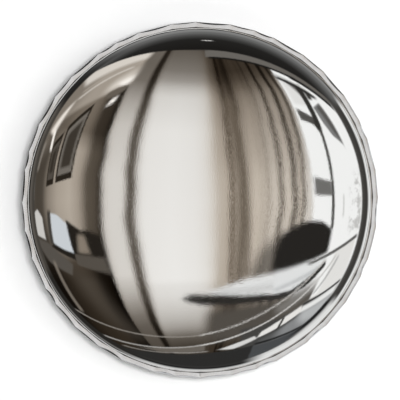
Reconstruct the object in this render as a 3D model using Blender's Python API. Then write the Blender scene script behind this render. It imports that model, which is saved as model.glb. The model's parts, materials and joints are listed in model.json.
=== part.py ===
"""Wall-mounted convex traffic mirror: a polished dome in a hammered rim, on a bracket that pans and tilts.

The wall is the plane y = 0, and the mirror faces -Y. A "depth" is a distance in front of the wall, so a
point at depth d has y = -d. Round parts turn about the Y axis; +Z is up. All sizes are in metres.
"""

import math

import bmesh
import bpy
from mathutils import Matrix, Vector

MM = 0.001
TAU = 2 * math.pi
GAP = 0.3 * MM  # between two parts that touch
HOLE_CLEARANCE = 0.4 * MM  # between a bolt or screw and its hole, on the radius

# Driving sizes: the mirror.
RIM_RADIUS = 300 * MM  # over the ridges of the hammered rim
DOME_CURVATURE = 437 * MM  # radius of the mirror's spherical face
DOME_FOOT_RADIUS = 289 * MM
SHOULDER_RADIUS = 25 * MM  # where the face rolls over towards the rim
DOME_WALL = 3 * MM  # straight length below the shoulder
SHEET = 1 * MM  # dome, rear cover and rim are pressed from this sheet
FLANGE_WIDTH = 6 * MM
FACETS = 40  # hammer marks round the rim
FACET_DEPTH = 2 * MM
FRONT_LIP_RADIUS = 290.4 * MM  # inner edge of the rim, seen from the front
BACK_LIP_RADIUS = 274 * MM
RIM_SEAM = 0.6 * MM  # the rim's two ends meet at the bottom with this gap

# Driving sizes: the bracket.
WALL_PLATE = (140 * MM, 5 * MM, 140 * MM)  # width, thickness, height
WALL_HOLE_PITCH = 104 * MM
WALL_HOLE_RADIUS = 4.5 * MM
YOKE_SHEET = 4 * MM
YOKE_INSIDE = 48 * MM  # between a yoke's two ears
YOKE_PIVOT = 20 * MM  # from a yoke's back to its pivot
EAR_RADIUS = 16 * MM
AXIS_SPACING = 22 * MM  # from the pan axis to the tilt axis
BOSS_RADIUS = 14 * MM
BOSS_LENGTH = 44 * MM
BUSH_RADIUS = 7 * MM
BUSH_LENGTH = 15 * MM  # inside the boss
BUSH_FLANGE_RADIUS = 13 * MM
HEAD_PLATE = (120 * MM, 4 * MM, 96 * MM)
BACKING_PLATE = (130 * MM, 3 * MM, 106 * MM)
HUB_BOLT_AT = (44 * MM, 34 * MM)  # x and z of the four hub bolts, either side of the centre

# Fasteners: an M10 bolt in each pivot, and four M8 bolts through the hub.
PIVOT_BOLT_RADIUS = 5 * MM
PIVOT_ACROSS_FLATS = 17 * MM
PIVOT_HEAD_HEIGHT = 6.4 * MM
PIVOT_WASHER = (10 * MM, 2 * MM)  # radius and thickness
PIVOT_NUT_HEIGHT = 8 * MM
PIVOT_COLLAR = (7.4 * MM, 2 * MM)  # radius and height of the ring that locks the nut
HUB_BOLT_RADIUS = 4 * MM
HUB_HEAD = (9 * MM, 4.5 * MM)  # radius and height
HUB_WASHER = (8 * MM, 1.6 * MM)
HUB_NUT = (13 * MM, 6.5 * MM)  # across flats, and height
HUB_BOLT_END = 2.4 * MM  # beyond its nut

# Depths that follow, counted from the wall outwards.
PAN_YOKE_BACK = WALL_PLATE[1] + GAP
PAN_DEPTH = PAN_YOKE_BACK + YOKE_PIVOT
TILT_DEPTH = PAN_DEPTH + AXIS_SPACING
TILT_YOKE_BACK = TILT_DEPTH + YOKE_PIVOT
HEAD_PLATE_BACK = TILT_YOKE_BACK + GAP
COVER_HUB_BACK = HEAD_PLATE_BACK + HEAD_PLATE[1] + GAP
BACKING_PLATE_BACK = COVER_HUB_BACK + SHEET + GAP
RIM_BACK = 80 * MM
COVER_FLANGE_BACK = RIM_BACK + SHEET + GAP
GASKET_BACK = COVER_FLANGE_BACK + SHEET + GAP
GASKET_BACK_LEG = 1.8 * MM
DOME_FLANGE_BACK = GASKET_BACK + GASKET_BACK_LEG + GAP
DOME_FLANGE_FRONT = DOME_FLANGE_BACK + SHEET
GASKET_FRONT_LEG_BACK = DOME_FLANGE_FRONT + GAP
GASKET_FRONT = GASKET_FRONT_LEG_BACK + 1.5 * MM
FRONT_LIP_BACK = GASKET_FRONT + GAP
RIM_FRONT = FRONT_LIP_BACK + SHEET

ROUND_SIDES = 48  # sides of the large round parts
SMALL_SIDES = 16  # sides of bolts, washers and bushes
BOSS_SIDES = 24
SCREW_SIDES = 8
HEXAGON_CHAMFER_SIDES = 12

RIM_SCREWS = 12
RIM_SCREW_CIRCLE = 281 * MM
RIM_SCREW_RADIUS = 2 * MM
JOINT_SCREW_X = 14 * MM
JOINT_PLATE = (46 * MM, 1.5 * MM, 16 * MM)

COVER_HUB_RADIUS = 80 * MM
COVER_STEP = 4 * MM  # the hub stands this far behind the slope round it
COVER_SLOPE = (92 * MM, 262 * MM)  # from the foot of the hub's step to the edge of the flange
COVER_FLANGE_RADIUS = 268 * MM
COVER_BEADS = (150 * MM, 215 * MM)  # two pressed ribs that stiffen the slope
BEAD_HALF_WIDTH = 10 * MM
BEAD_SIDE = 6 * MM
BEAD_HEIGHT = 3 * MM

VENT_RADIUS = 243 * MM  # distance of the vent below the centre
VENT_HOLE_RADIUS = 9 * MM

# Colour, roughness and metallic value of each material.
FINISHES = {
    "polished_steel": ((0.86, 0.85, 0.83), 0.04, 1.0),
    "hammered_rim": ((0.80, 0.80, 0.80), 0.25, 1.0),
    "painted_cover": ((0.62, 0.63, 0.63), 0.45, 0.0),
    "galvanised_steel": ((0.60, 0.62, 0.63), 0.40, 1.0),
    "cast_aluminium": ((0.66, 0.66, 0.66), 0.50, 1.0),
    "zinc_fastener": ((0.72, 0.72, 0.70), 0.30, 1.0),
    "black_rubber": ((0.03, 0.03, 0.03), 0.80, 0.0),
    "black_nylon": ((0.05, 0.05, 0.05), 0.50, 0.0),
}


def clear_scene():
    for old in list(bpy.data.objects):
        bpy.data.objects.remove(old)


def make_materials():
    made = {}
    for name, (colour, roughness, metallic) in FINISHES.items():
        material = bpy.data.materials.new(name)
        material.use_nodes = True
        shader = material.node_tree.nodes["Principled BSDF"]
        shader.inputs["Base Color"].default_value = (*colour, 1)
        shader.inputs["Roughness"].default_value = roughness
        shader.inputs["Metallic"].default_value = metallic
        made[name] = material
    return made


def make_axis(name, depth, parent=None):
    """An empty on a joint's axis. What turns about the joint is parented to it."""
    empty = bpy.data.objects.new(name, None)
    bpy.context.scene.collection.objects.link(empty)
    empty.location = (0, -depth, 0)
    if parent:
        empty.parent = parent
        empty.location = Vector((0, -depth, 0)) - parent.location
    return empty


def make_object(name, shape, finish=None, parent=None, at=(0, 0, 0), turn=None):
    """Turns a bmesh into an object at a world position, parented without moving it."""
    bmesh.ops.recalc_face_normals(shape, faces=shape.faces)
    mesh = bpy.data.meshes.new(name)
    shape.to_mesh(mesh)
    shape.free()
    made = bpy.data.objects.new(name, mesh)
    bpy.context.scene.collection.objects.link(made)
    origin = Vector((0, 0, 0))
    if parent:
        made.parent = parent
        origin = parent.location + (parent.parent.location if parent.parent else Vector((0, 0, 0)))
    made.matrix_local = Matrix.Translation(Vector(at) - origin) @ (turn or Matrix.Identity(4))
    if finish:
        mesh.materials.append(materials[finish])
        mesh.shade_smooth()
        mesh.set_sharp_from_angle(angle=math.radians(30))
    return made


def helper(made):
    """Marks an object as a tool for Booleans, so that it isn't a part."""
    made.hide_render = True
    made.display_type = "WIRE"
    return made


def combine(made, other, operation):
    modifier = made.modifiers.new(operation.lower(), "BOOLEAN")
    modifier.operation = operation
    modifier.object = other
    return made


# Shapes


def arc(centre, radius, start, end, steps):
    """Points on an arc from the start angle to the end angle, both included."""
    angles = [start + (end - start) * k / steps for k in range(steps + 1)]
    return [(centre[0] + radius * math.cos(a), centre[1] + radius * math.sin(a)) for a in angles]


def swept(outline_at, angles, closed=True):
    """Carries a closed outline of (radius, depth) points round the Y axis through the angles."""
    shape = bmesh.new()
    columns = []
    for angle in angles:
        across, up = math.cos(angle), math.sin(angle)
        points = [(r * across, -depth, r * up) for r, depth in outline_at(angle)]
        columns.append([shape.verts.new(point) for point in points])
    neighbours = columns[1:] + columns[:1] if closed else columns[1:]
    for one, other in zip(columns, neighbours):
        for k in range(len(one)):
            after = (k + 1) % len(one)
            shape.faces.new((one[k], one[after], other[after], other[k]))
    if not closed:
        shape.faces.new(columns[0])
        shape.faces.new(columns[-1][::-1])
    bmesh.ops.remove_doubles(shape, verts=shape.verts, dist=0.001 * MM)
    return shape


def turned(outline, sides):
    return swept(lambda angle: outline, [TAU * k / sides for k in range(sides)])


def tube(inner, outer, back, front, sides=SMALL_SIDES):
    """A ring along the Y axis between two depths, or a rod where the inner radius is 0."""
    return turned([(inner, back), (outer, back), (outer, front), (inner, front)], sides)


def carried(points, shift):
    """A flat face through the points, made solid by carrying it along the shift."""
    shape = bmesh.new()
    base = shape.faces.new([shape.verts.new(point) for point in points])
    grown = bmesh.ops.extrude_face_region(shape, geom=[base])["geom"]
    moved = [item for item in grown if isinstance(item, bmesh.types.BMVert)]
    bmesh.ops.translate(shape, verts=moved, vec=shift)
    return shape


def extruded(outline, back, front):
    """A flat outline of (x, z) points made solid between two depths."""
    return carried([(x, -back, z) for x, z in outline], (0, back - front, 0))


def rounded_rectangle(width, height, radius, steps=4):
    points = []
    for quarter, (sx, sz) in enumerate([(1, 1), (-1, 1), (-1, -1), (1, -1)]):
        centre = (sx * (width / 2 - radius), sz * (height / 2 - radius))
        start = quarter * TAU / 4
        points += arc(centre, radius, start, start + TAU / 4, steps)
    return points


def hexagon(across_flats):
    corner = across_flats / 2 / math.cos(TAU / 12)
    return [(corner * math.cos(TAU * k / 6), corner * math.sin(TAU * k / 6)) for k in range(6)]


def holes(name, places, radius, back, front, sides=SMALL_SIDES):
    """A cutter with one round peg at each (x, z) place."""
    shape = bmesh.new()
    length = front - back
    for x, z in places:
        across_y = Matrix.Rotation(TAU / 4, 4, "X")
        at = Matrix.Translation((x, -(back + front) / 2, z)) @ across_y
        bmesh.ops.create_cone(
            shape, cap_ends=True, segments=sides, radius1=radius, radius2=radius, depth=length, matrix=at
        )
    return helper(make_object(name, shape))


# The mirror head


def facet_ridges():
    """Angles of the ridges between hammer marks. Two sine terms make the marks uneven, as by hand."""
    widths = [1 + 0.24 * math.sin(2.4 * k + 0.7) + 0.12 * math.sin(5.1 * k) for k in range(FACETS)]
    span = TAU - RIM_SEAM / RIM_RADIUS
    start = -TAU / 4 + RIM_SEAM / RIM_RADIUS / 2
    ridges = [start]
    for width in widths:
        ridges.append(ridges[-1] + span * width / sum(widths))
    return ridges


def dome_face(curvature, shoulder, sphere_steps=6, shoulder_steps=3):
    """(radius, depth) points of one face of the dome, from its top to the foot of its shoulder."""
    centre_radius = DOME_FOOT_RADIUS - SHOULDER_RADIUS
    turn_in = math.asin(centre_radius / (DOME_CURVATURE - SHOULDER_RADIUS))
    shoulder_depth = DOME_FLANGE_FRONT + DOME_WALL
    sphere_depth = shoulder_depth - (DOME_CURVATURE - SHOULDER_RADIUS) * math.cos(turn_in)
    face = arc((0, sphere_depth), curvature, TAU / 4, TAU / 4 - turn_in, sphere_steps)
    rolled = arc((centre_radius, shoulder_depth), shoulder, TAU / 4 - turn_in, 0, shoulder_steps)
    return [(0, face[0][1])] + face[1:] + rolled[1:]


def make_dome():
    outside = dome_face(DOME_CURVATURE, SHOULDER_RADIUS)
    inside = dome_face(DOME_CURVATURE - SHEET, SHOULDER_RADIUS - SHEET)
    edge = DOME_FOOT_RADIUS + FLANGE_WIDTH
    flange = [
        (DOME_FOOT_RADIUS, DOME_FLANGE_FRONT),
        (edge, DOME_FLANGE_FRONT),
        (edge, DOME_FLANGE_BACK),
        (DOME_FOOT_RADIUS - SHEET, DOME_FLANGE_BACK),
    ]
    shell = turned(outside + flange + inside[::-1], ROUND_SIDES)
    make_object("mirror_dome", shell, "polished_steel", tilt_axis)


def make_gasket():
    """Rubber channel that wraps the dome's flange; its front leg shows as a thin line inside the rim."""
    edge = DOME_FOOT_RADIUS + FLANGE_WIDTH + GAP
    lip = DOME_FOOT_RADIUS + 0.6 * MM
    outer = edge + 1.1 * MM
    back_leg_front = GASKET_BACK + GASKET_BACK_LEG
    outline = [
        (lip, GASKET_BACK),
        (outer, GASKET_BACK),
        (outer, GASKET_FRONT),
        (lip, GASKET_FRONT),
        (lip, GASKET_FRONT_LEG_BACK),
        (edge, GASKET_FRONT_LEG_BACK),
        (edge, back_leg_front),
        (lip, back_leg_front),
    ]
    make_object("dome_gasket", turned(outline, ROUND_SIDES), "black_rubber", tilt_axis)


def make_rim():
    """Channel wrapped round the edge and hammered; each mark is a shallow hollow between two ridges."""
    ridges = facet_ridges()
    chamfer = 1 * MM
    steps = 2  # along each mark

    def outline_at(angle):
        k = max(i for i in range(FACETS) if ridges[i] <= angle + 1e-9)
        along = (angle - ridges[k]) / (ridges[k + 1] - ridges[k])
        outer = RIM_RADIUS - FACET_DEPTH * math.sin(math.pi * along)
        inner = outer - SHEET
        return [
            (FRONT_LIP_RADIUS, RIM_FRONT),
            (outer - chamfer, RIM_FRONT),
            (outer, RIM_FRONT - chamfer),
            (outer, RIM_BACK + chamfer),
            (outer - chamfer, RIM_BACK),
            (BACK_LIP_RADIUS, RIM_BACK),
            (BACK_LIP_RADIUS, RIM_BACK + SHEET),
            (inner, RIM_BACK + SHEET),
            (inner, FRONT_LIP_BACK),
            (FRONT_LIP_RADIUS, FRONT_LIP_BACK),
        ]

    angles = []
    for start, end in zip(ridges, ridges[1:]):
        angles += [start + (end - start) * k / steps for k in range(steps)]
    angles.append(ridges[-1])
    rim = make_object("rim_band", swept(outline_at, angles, closed=False), "hammered_rim", tilt_axis)
    combine(rim, rim_screw_holes, "DIFFERENCE")


def rim_screw_places():
    angles = [TAU * (k + 0.5) / RIM_SCREWS - TAU / 4 for k in range(RIM_SCREWS)]
    return [(RIM_SCREW_CIRCLE * math.cos(a), RIM_SCREW_CIRCLE * math.sin(a)) for a in angles]


def joint_screw_places():
    return [(side * JOINT_SCREW_X, -RIM_SCREW_CIRCLE) for side in (-1, 1)]


def make_screw(name, place, head_back):
    """Pan-head tapping screw whose head stands behind the depth given, its point towards the front."""
    shank, head, height = RIM_SCREW_RADIUS, 3.8 * MM, 2.6 * MM
    length = 5.8 * MM
    outline = [
        (0, -height),
        (head * 0.7, -height),
        (head, -height * 0.45),
        (head, 0),
        (shank, 0),
        (shank, length - 1.2 * MM),
        (0, length),
    ]
    x, z = place
    make_object(name, turned(outline, SCREW_SIDES), "zinc_fastener", tilt_axis, at=(x, -head_back, z))


def make_rim_fixings():
    for k, place in enumerate(rim_screw_places()):
        make_screw(f"rim_screw_{k + 1:02d}", place, RIM_BACK - GAP)
    plate_front = RIM_BACK - GAP
    plate_back = plate_front - JOINT_PLATE[1]
    outline = rounded_rectangle(JOINT_PLATE[0], JOINT_PLATE[2], 3 * MM, 2)
    middle = RIM_SCREW_CIRCLE + 2 * MM
    shape = extruded([(x, z - middle) for x, z in outline], plate_back, plate_front)
    plate = make_object("rim_joint_plate", shape, "galvanised_steel", tilt_axis)
    combine(plate, rim_screw_holes, "DIFFERENCE")
    for k, place in enumerate(joint_screw_places()):
        make_screw(f"joint_screw_{k + 1}", place, plate_back - GAP)


def cover_back(radius):
    """Depth of the rear cover's back: a flat hub, a step, a slope with two pressed beads, a flange."""
    start, end = COVER_SLOPE
    if radius <= COVER_HUB_RADIUS:
        return COVER_HUB_BACK
    if radius >= COVER_FLANGE_RADIUS:
        return COVER_FLANGE_BACK
    if radius < start:
        return COVER_HUB_BACK + COVER_STEP * (radius - COVER_HUB_RADIUS) / (start - COVER_HUB_RADIUS)
    low, high = COVER_HUB_BACK + COVER_STEP, COVER_FLANGE_BACK - SHEET
    if radius > end:
        return high + SHEET * (radius - end) / (COVER_FLANGE_RADIUS - end)
    depth = low + (high - low) * (radius - start) / (end - start)
    for bead in COVER_BEADS:
        away = abs(radius - bead)
        if away < BEAD_HALF_WIDTH:
            depth -= BEAD_HEIGHT * min(1, (BEAD_HALF_WIDTH - away) / BEAD_SIDE)
    return depth


def make_cover():
    radii = [0, COVER_HUB_RADIUS, COVER_SLOPE[0]]
    for bead in COVER_BEADS:
        flat = BEAD_HALF_WIDTH - BEAD_SIDE
        radii += [bead - BEAD_HALF_WIDTH, bead - flat, bead + flat, bead + BEAD_HALF_WIDTH]
    radii += [COVER_SLOPE[1], COVER_FLANGE_RADIUS, DOME_FOOT_RADIUS + FLANGE_WIDTH]
    back = [(r, cover_back(r)) for r in radii]
    front = [(r, depth + SHEET) for r, depth in back]
    cover = make_object("rear_cover", turned(back + front[::-1], ROUND_SIDES), "painted_cover", tilt_axis)
    combine(cover, rim_screw_holes, "DIFFERENCE")
    combine(cover, hub_bolt_holes, "DIFFERENCE")
    vent = (0, -VENT_RADIUS)
    hole = holes("vent_hole", [vent], VENT_HOLE_RADIUS, COVER_HUB_BACK, COVER_FLANGE_BACK + 10 * MM)
    combine(cover, hole, "DIFFERENCE")
    make_vent_grommet(vent)


def make_vent_grommet(vent):
    """Rubber ring that lines the drain and breather hole; its flanges grip the cover sheet."""
    sheet_back = cover_back(VENT_RADIUS)
    clear = 0.7 * MM  # the cover slopes a little under the flanges
    flange_back = sheet_back - clear
    flange_front = sheet_back + SHEET + clear
    thick, flange, neck, bore = 1.8 * MM, 12.5 * MM, VENT_HOLE_RADIUS - 0.4 * MM, 4.5 * MM
    outline = [
        (bore, flange_back - thick),
        (flange - 1 * MM, flange_back - thick),
        (flange, flange_back - 0.6 * thick),
        (flange, flange_back),
        (neck, flange_back),
        (neck, flange_front),
        (flange, flange_front),
        (flange, flange_front + thick),
        (bore, flange_front + thick),
    ]
    at = (vent[0], 0, vent[1])
    make_object("vent_grommet", turned(outline, SMALL_SIDES), "black_rubber", tilt_axis, at)


# The hub that joins the cover to the bracket


def hub_places():
    x, z = HUB_BOLT_AT
    return {"upper_left": (-x, z), "upper_right": (x, z), "lower_left": (-x, -z), "lower_right": (x, -z)}


def make_hub_plate(name, size, back):
    width, thickness, height = size
    shape = extruded(rounded_rectangle(width, height, 12 * MM), back, back + thickness)
    plate = make_object(name, shape, "galvanised_steel", tilt_axis)
    combine(plate, hub_bolt_holes, "DIFFERENCE")


def make_hub():
    """The cover's hub is clamped between the head plate behind it and the backing plate in front."""
    make_hub_plate("head_plate", HEAD_PLATE, HEAD_PLATE_BACK)
    make_hub_plate("backing_plate", BACKING_PLATE, BACKING_PLATE_BACK)
    for corner, place in hub_places().items():
        make_hub_bolt(corner, place, BACKING_PLATE_BACK + BACKING_PLATE[1] + GAP)


def make_hub_bolt(corner, place, head_back):
    """Bolt with its mushroom head inside the mirror, and the washer and nut behind the head plate."""
    at = (place[0], 0, place[1])
    radius, chamfer = HUB_BOLT_RADIUS, 0.8 * MM
    head, height = HUB_HEAD
    washer_front = HEAD_PLATE_BACK - GAP
    washer_back = washer_front - HUB_WASHER[1]
    nut_front = washer_back - GAP
    nut_back = nut_front - HUB_NUT[1]
    bolt_end = nut_back - HUB_BOLT_END
    outline = [
        (0, bolt_end),
        (radius - chamfer, bolt_end),
        (radius, bolt_end + chamfer),
        (radius, head_back),
        (head, head_back),
        (head, head_back + 1 * MM),
        (head * 0.6, head_back + 0.8 * height),
        (0, head_back + height),
    ]
    make_object(f"hub_bolt_{corner}", turned(outline, SMALL_SIDES), "zinc_fastener", tilt_axis, at)
    ring = tube(radius + HOLE_CLEARANCE, HUB_WASHER[0], washer_back, washer_front)
    make_object(f"hub_washer_{corner}", ring, "zinc_fastener", tilt_axis, at)
    make_nut(f"hub_nut_{corner}", HUB_NUT[0], radius, nut_back, nut_front, tilt_axis, at)


def make_nut(name, across_flats, thread_radius, back, front, parent, at=(0, 0, 0), turn=None):
    """Hexagon nut along the Y axis between two depths, its corners turned off towards both ends."""
    corner = across_flats / 2 / math.cos(TAU / 12)
    bore = thread_radius + GAP
    slope = 1 * MM
    outline = [
        (bore, back),
        (across_flats / 2 * 0.97, back),
        (corner * 1.01, back + slope),
        (corner * 1.01, front - slope),
        (across_flats / 2 * 0.97, front),
        (bore, front),
    ]
    nut = make_object(name, turned(outline, HEXAGON_CHAMFER_SIDES), "zinc_fastener", parent, at, turn)
    flats = extruded(hexagon(across_flats), back - MM, front + MM)
    combine(nut, helper(make_object(name + "_flats", flats, None, parent, at, turn)), "INTERSECT")
    return nut


# The bracket


def yoke_section():
    """The folded U of a yoke as (depth, z) points, so that the arcs turn the way the sheet does."""
    half_inside = YOKE_INSIDE / 2
    half_outside = half_inside + YOKE_SHEET
    reach = YOKE_PIVOT + EAR_RADIUS
    bend = 3 * MM  # inside radius of the fold
    outer_bend = bend + YOKE_SHEET
    lower_fold = arc((outer_bend, outer_bend - half_outside), outer_bend, -TAU / 4, -TAU / 2, 4)
    upper_fold = [(depth, -z) for depth, z in lower_fold[::-1]]
    upper_inner = arc((outer_bend, half_outside - outer_bend), bend, TAU / 4, TAU / 2, 4)
    lower_inner = [(depth, -z) for depth, z in upper_inner[::-1]]
    outer = [(reach, -half_outside)] + lower_fold + upper_fold + [(reach, half_outside)]
    return outer + [(reach, half_inside)] + upper_inner + lower_inner + [(reach, -half_inside)]


def yoke_side():
    """A yoke seen along its pivot: a strip of (x, depth) points with a round end, a little wide elsewhere."""
    spare = MM
    strip = [(-EAR_RADIUS - spare, -spare), (EAR_RADIUS + spare, -spare)]
    tangent = [(EAR_RADIUS + spare, YOKE_PIVOT), (EAR_RADIUS, YOKE_PIVOT)]
    end = arc((0, YOKE_PIVOT), EAR_RADIUS, 0, TAU / 2, 12)[1:]
    return strip + tangent + end + [(-EAR_RADIUS - spare, YOKE_PIVOT)]


def make_yoke(name, parent, at, turn=None):
    """Folded U-shaped yoke. Its back is at depth 0, its ears reach forwards, and its pivot is along Z."""
    wide, tall = 2 * EAR_RADIUS, YOKE_INSIDE + 2 * YOKE_SHEET + 2 * MM
    folded = carried([(-EAR_RADIUS, -depth, z) for depth, z in yoke_section()], (wide, 0, 0))
    yoke = make_object(name, folded, "galvanised_steel", parent, at, turn)
    side = carried([(x, -depth, -tall / 2) for x, depth in yoke_side()], (0, 0, tall))
    combine(yoke, helper(make_object(name + "_side", side, None, parent, at, turn)), "INTERSECT")
    hole = bmesh.new()
    bmesh.ops.create_cone(
        hole,
        cap_ends=True,
        segments=SMALL_SIDES,
        radius1=PIVOT_BOLT_RADIUS + HOLE_CLEARANCE,
        radius2=PIVOT_BOLT_RADIUS + HOLE_CLEARANCE,
        depth=tall,
        matrix=Matrix.Translation((0, -YOKE_PIVOT, 0)),
    )
    combine(yoke, helper(make_object(name + "_hole", hole, None, parent, at, turn)), "DIFFERENCE")


def make_pivot_bolt(prefix, parent, depth, turn, ends):
    """M10 bolt, two washers and a locking nut. The turn carries the Y axis, along which they are built, onto
    the pivot; the washers are named after the two ends, the bolt head's first."""
    at = (0, -depth, 0)
    ear = YOKE_INSIDE / 2 + YOKE_SHEET
    washer_start = ear + GAP
    washer_end = washer_start + PIVOT_WASHER[1]
    seat = washer_end + GAP
    head_end = seat + PIVOT_HEAD_HEIGHT
    nut_end = seat + PIVOT_NUT_HEIGHT
    collar_end = nut_end + PIVOT_COLLAR[1]
    bolt_end = collar_end + 2.5 * MM
    radius, across_flats = PIVOT_BOLT_RADIUS, PIVOT_ACROSS_FLATS
    # The head is at the low-depth end, the nut at the high-depth end.
    corner = across_flats / 2 / math.cos(TAU / 12)
    outline = [
        (0, -head_end),
        (across_flats / 2 * 0.97, -head_end),
        (corner * 1.01, 1 * MM - head_end),
        (corner * 1.01, -seat),
        (radius, -seat),
        (radius, bolt_end - MM),
        (radius - MM, bolt_end),
        (0, bolt_end),
    ]
    turned_bolt = turned(outline, HEXAGON_CHAMFER_SIDES)
    bolt = make_object(f"{prefix}_bolt", turned_bolt, "zinc_fastener", parent, at, turn)
    flats = extruded(hexagon(across_flats), -head_end - MM, bolt_end + MM)
    combine(bolt, helper(make_object(f"{prefix}_bolt_flats", flats, None, parent, at, turn)), "INTERSECT")
    for end, side in zip(ends, (-1, 1)):
        near, far = sorted((side * washer_start, side * washer_end))
        ring = tube(radius + HOLE_CLEARANCE, PIVOT_WASHER[0], near, far)
        make_object(f"{prefix}_washer_{end}", ring, "zinc_fastener", parent, at, turn)
    nut = make_nut(f"{prefix}_nut", across_flats, radius, seat, nut_end, parent, at, turn)
    collar = tube(radius + GAP, PIVOT_COLLAR[0], nut_end - 0.5 * MM, collar_end, HEXAGON_CHAMFER_SIDES)
    combine(nut, helper(make_object(f"{prefix}_nut_collar", collar, None, parent, at, turn)), "UNION")


def make_bush(name, parent, depth, turn, side):
    """Flanged nylon bush that lines one end of a boss; its flange is the friction face against the ear."""
    boss_end = BOSS_LENGTH / 2
    flange_start, flange_end = boss_end + GAP, YOKE_INSIDE / 2 - GAP
    bore, barrel, flange = PIVOT_BOLT_RADIUS + GAP, BUSH_RADIUS, BUSH_FLANGE_RADIUS
    inner_end = boss_end - BUSH_LENGTH
    outline = [
        (bore, inner_end),
        (barrel, inner_end),
        (barrel, flange_start),
        (flange, flange_start),
        (flange, flange_end),
        (bore, flange_end),
    ]
    placed = [(r, side * depth_along) for r, depth_along in outline]
    make_object(name, turned(placed, SMALL_SIDES), "black_nylon", parent, (0, -depth, 0), turn)


def make_swivel():
    """Cast block with an upright boss on the pan axis and a level boss on the tilt axis, joined by a web."""
    half = BOSS_LENGTH / 2
    web = 12 * MM
    rod = tube(0, BOSS_RADIUS, -half, half, BOSS_SIDES)
    block = make_object("swivel_block", rod, "cast_aluminium", pan_axis, (0, -PAN_DEPTH, 0), ALONG_Z)
    rod = tube(0, BOSS_RADIUS, -half, half, BOSS_SIDES)
    front = helper(make_object("tilt_boss", rod, None, pan_axis, (0, -TILT_DEPTH, 0), ALONG_X))
    bridge = extruded(rounded_rectangle(2 * web, 2 * web, 3 * MM, 2), PAN_DEPTH, TILT_DEPTH)
    combine(block, helper(make_object("swivel_web", bridge, None, pan_axis)), "UNION")
    combine(block, front, "UNION")
    for axis, depth, turn in (("pan", PAN_DEPTH, ALONG_Z), ("tilt", TILT_DEPTH, ALONG_X)):
        rod = tube(0, BUSH_RADIUS + GAP, -half - MM, half + MM)
        bore = helper(make_object(f"{axis}_bore", rod, None, pan_axis, (0, -depth, 0), turn))
        combine(block, bore, "DIFFERENCE")
    make_bush("pan_bush_upper", pan_axis, PAN_DEPTH, ALONG_Z, -1)
    make_bush("pan_bush_lower", pan_axis, PAN_DEPTH, ALONG_Z, 1)
    make_bush("tilt_bush_left", pan_axis, TILT_DEPTH, ALONG_X, -1)
    make_bush("tilt_bush_right", pan_axis, TILT_DEPTH, ALONG_X, 1)


def make_wall_plate():
    outline = rounded_rectangle(WALL_PLATE[0], WALL_PLATE[2], 14 * MM)
    plate = make_object("wall_plate", extruded(outline, 0, WALL_PLATE[1]), "galvanised_steel")
    half = WALL_HOLE_PITCH / 2
    places = [(sx * half, sz * half) for sx in (-1, 1) for sz in (-1, 1)]
    pegs = holes("wall_holes", places, WALL_HOLE_RADIUS, -5 * MM, WALL_PLATE[1] + 5 * MM)
    combine(plate, pegs, "DIFFERENCE")


def make_bracket():
    make_wall_plate()
    make_yoke("pan_yoke", None, (0, -PAN_YOKE_BACK, 0))
    make_pivot_bolt("pan", None, PAN_DEPTH, ALONG_Z, ("upper", "lower"))
    make_swivel()
    # The tilt yoke is the same pressing, turned to face the wall with its pivot level.
    facing_wall = Matrix.Rotation(TAU / 4, 4, "Y") @ Matrix.Rotation(TAU / 2, 4, "Z")
    make_yoke("tilt_yoke", tilt_axis, (0, -TILT_YOKE_BACK, 0), facing_wall)
    make_pivot_bolt("tilt", tilt_axis, TILT_DEPTH, ALONG_X, ("left", "right"))


# Depth runs along -Y, so these carry the low-depth end of a part to the top, or to the left.
ALONG_Z = Matrix.Rotation(TAU / 4, 4, "X")
ALONG_X = Matrix.Rotation(TAU / 4, 4, "Z")

clear_scene()
materials = make_materials()
pan_axis = make_axis("pan_axis", PAN_DEPTH)
tilt_axis = make_axis("tilt_axis", TILT_DEPTH, pan_axis)
all_screws = rim_screw_places() + joint_screw_places()
screw_hole_radius = RIM_SCREW_RADIUS + HOLE_CLEARANCE
rim_screw_holes = holes(
    "rim_screw_holes", all_screws, screw_hole_radius, RIM_BACK - 5 * MM, GASKET_BACK, SCREW_SIDES
)
bolt_hole_radius = HUB_BOLT_RADIUS + HOLE_CLEARANCE
hub_stack = (HEAD_PLATE_BACK - MM, BACKING_PLATE_BACK + BACKING_PLATE[1] + MM)
hub_bolt_holes = holes("hub_bolt_holes", hub_places().values(), bolt_hole_radius, *hub_stack)
make_bracket()
make_hub()
make_cover()
make_dome()
make_gasket()
make_rim()
make_rim_fixings()
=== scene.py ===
"""The finished look of the wall-mounted convex traffic mirror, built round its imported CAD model.

The wall is the plane y = 0 and the mirror faces -Y. Round parts turn about Y unless they say otherwise.
Sizes are in metres, and places come from the frame's boxes.
"""

import json
import math

import bmesh
import bpy
from mathutils import Matrix, Vector


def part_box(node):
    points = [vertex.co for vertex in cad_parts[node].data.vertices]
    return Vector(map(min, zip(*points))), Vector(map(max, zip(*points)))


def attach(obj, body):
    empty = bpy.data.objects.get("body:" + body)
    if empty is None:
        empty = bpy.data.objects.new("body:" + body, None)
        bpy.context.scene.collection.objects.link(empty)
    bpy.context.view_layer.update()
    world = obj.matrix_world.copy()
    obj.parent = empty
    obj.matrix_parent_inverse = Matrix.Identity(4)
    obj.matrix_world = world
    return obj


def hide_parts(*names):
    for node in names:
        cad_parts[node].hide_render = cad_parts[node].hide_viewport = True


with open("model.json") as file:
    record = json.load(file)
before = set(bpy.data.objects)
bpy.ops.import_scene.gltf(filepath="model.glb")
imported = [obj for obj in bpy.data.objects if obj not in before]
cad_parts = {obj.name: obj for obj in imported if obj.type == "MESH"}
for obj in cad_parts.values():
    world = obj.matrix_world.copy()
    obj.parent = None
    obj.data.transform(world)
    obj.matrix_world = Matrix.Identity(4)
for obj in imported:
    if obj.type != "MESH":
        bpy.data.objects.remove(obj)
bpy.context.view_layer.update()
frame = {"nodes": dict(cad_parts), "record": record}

MM = 0.001
TAU = 2 * math.pi
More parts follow.
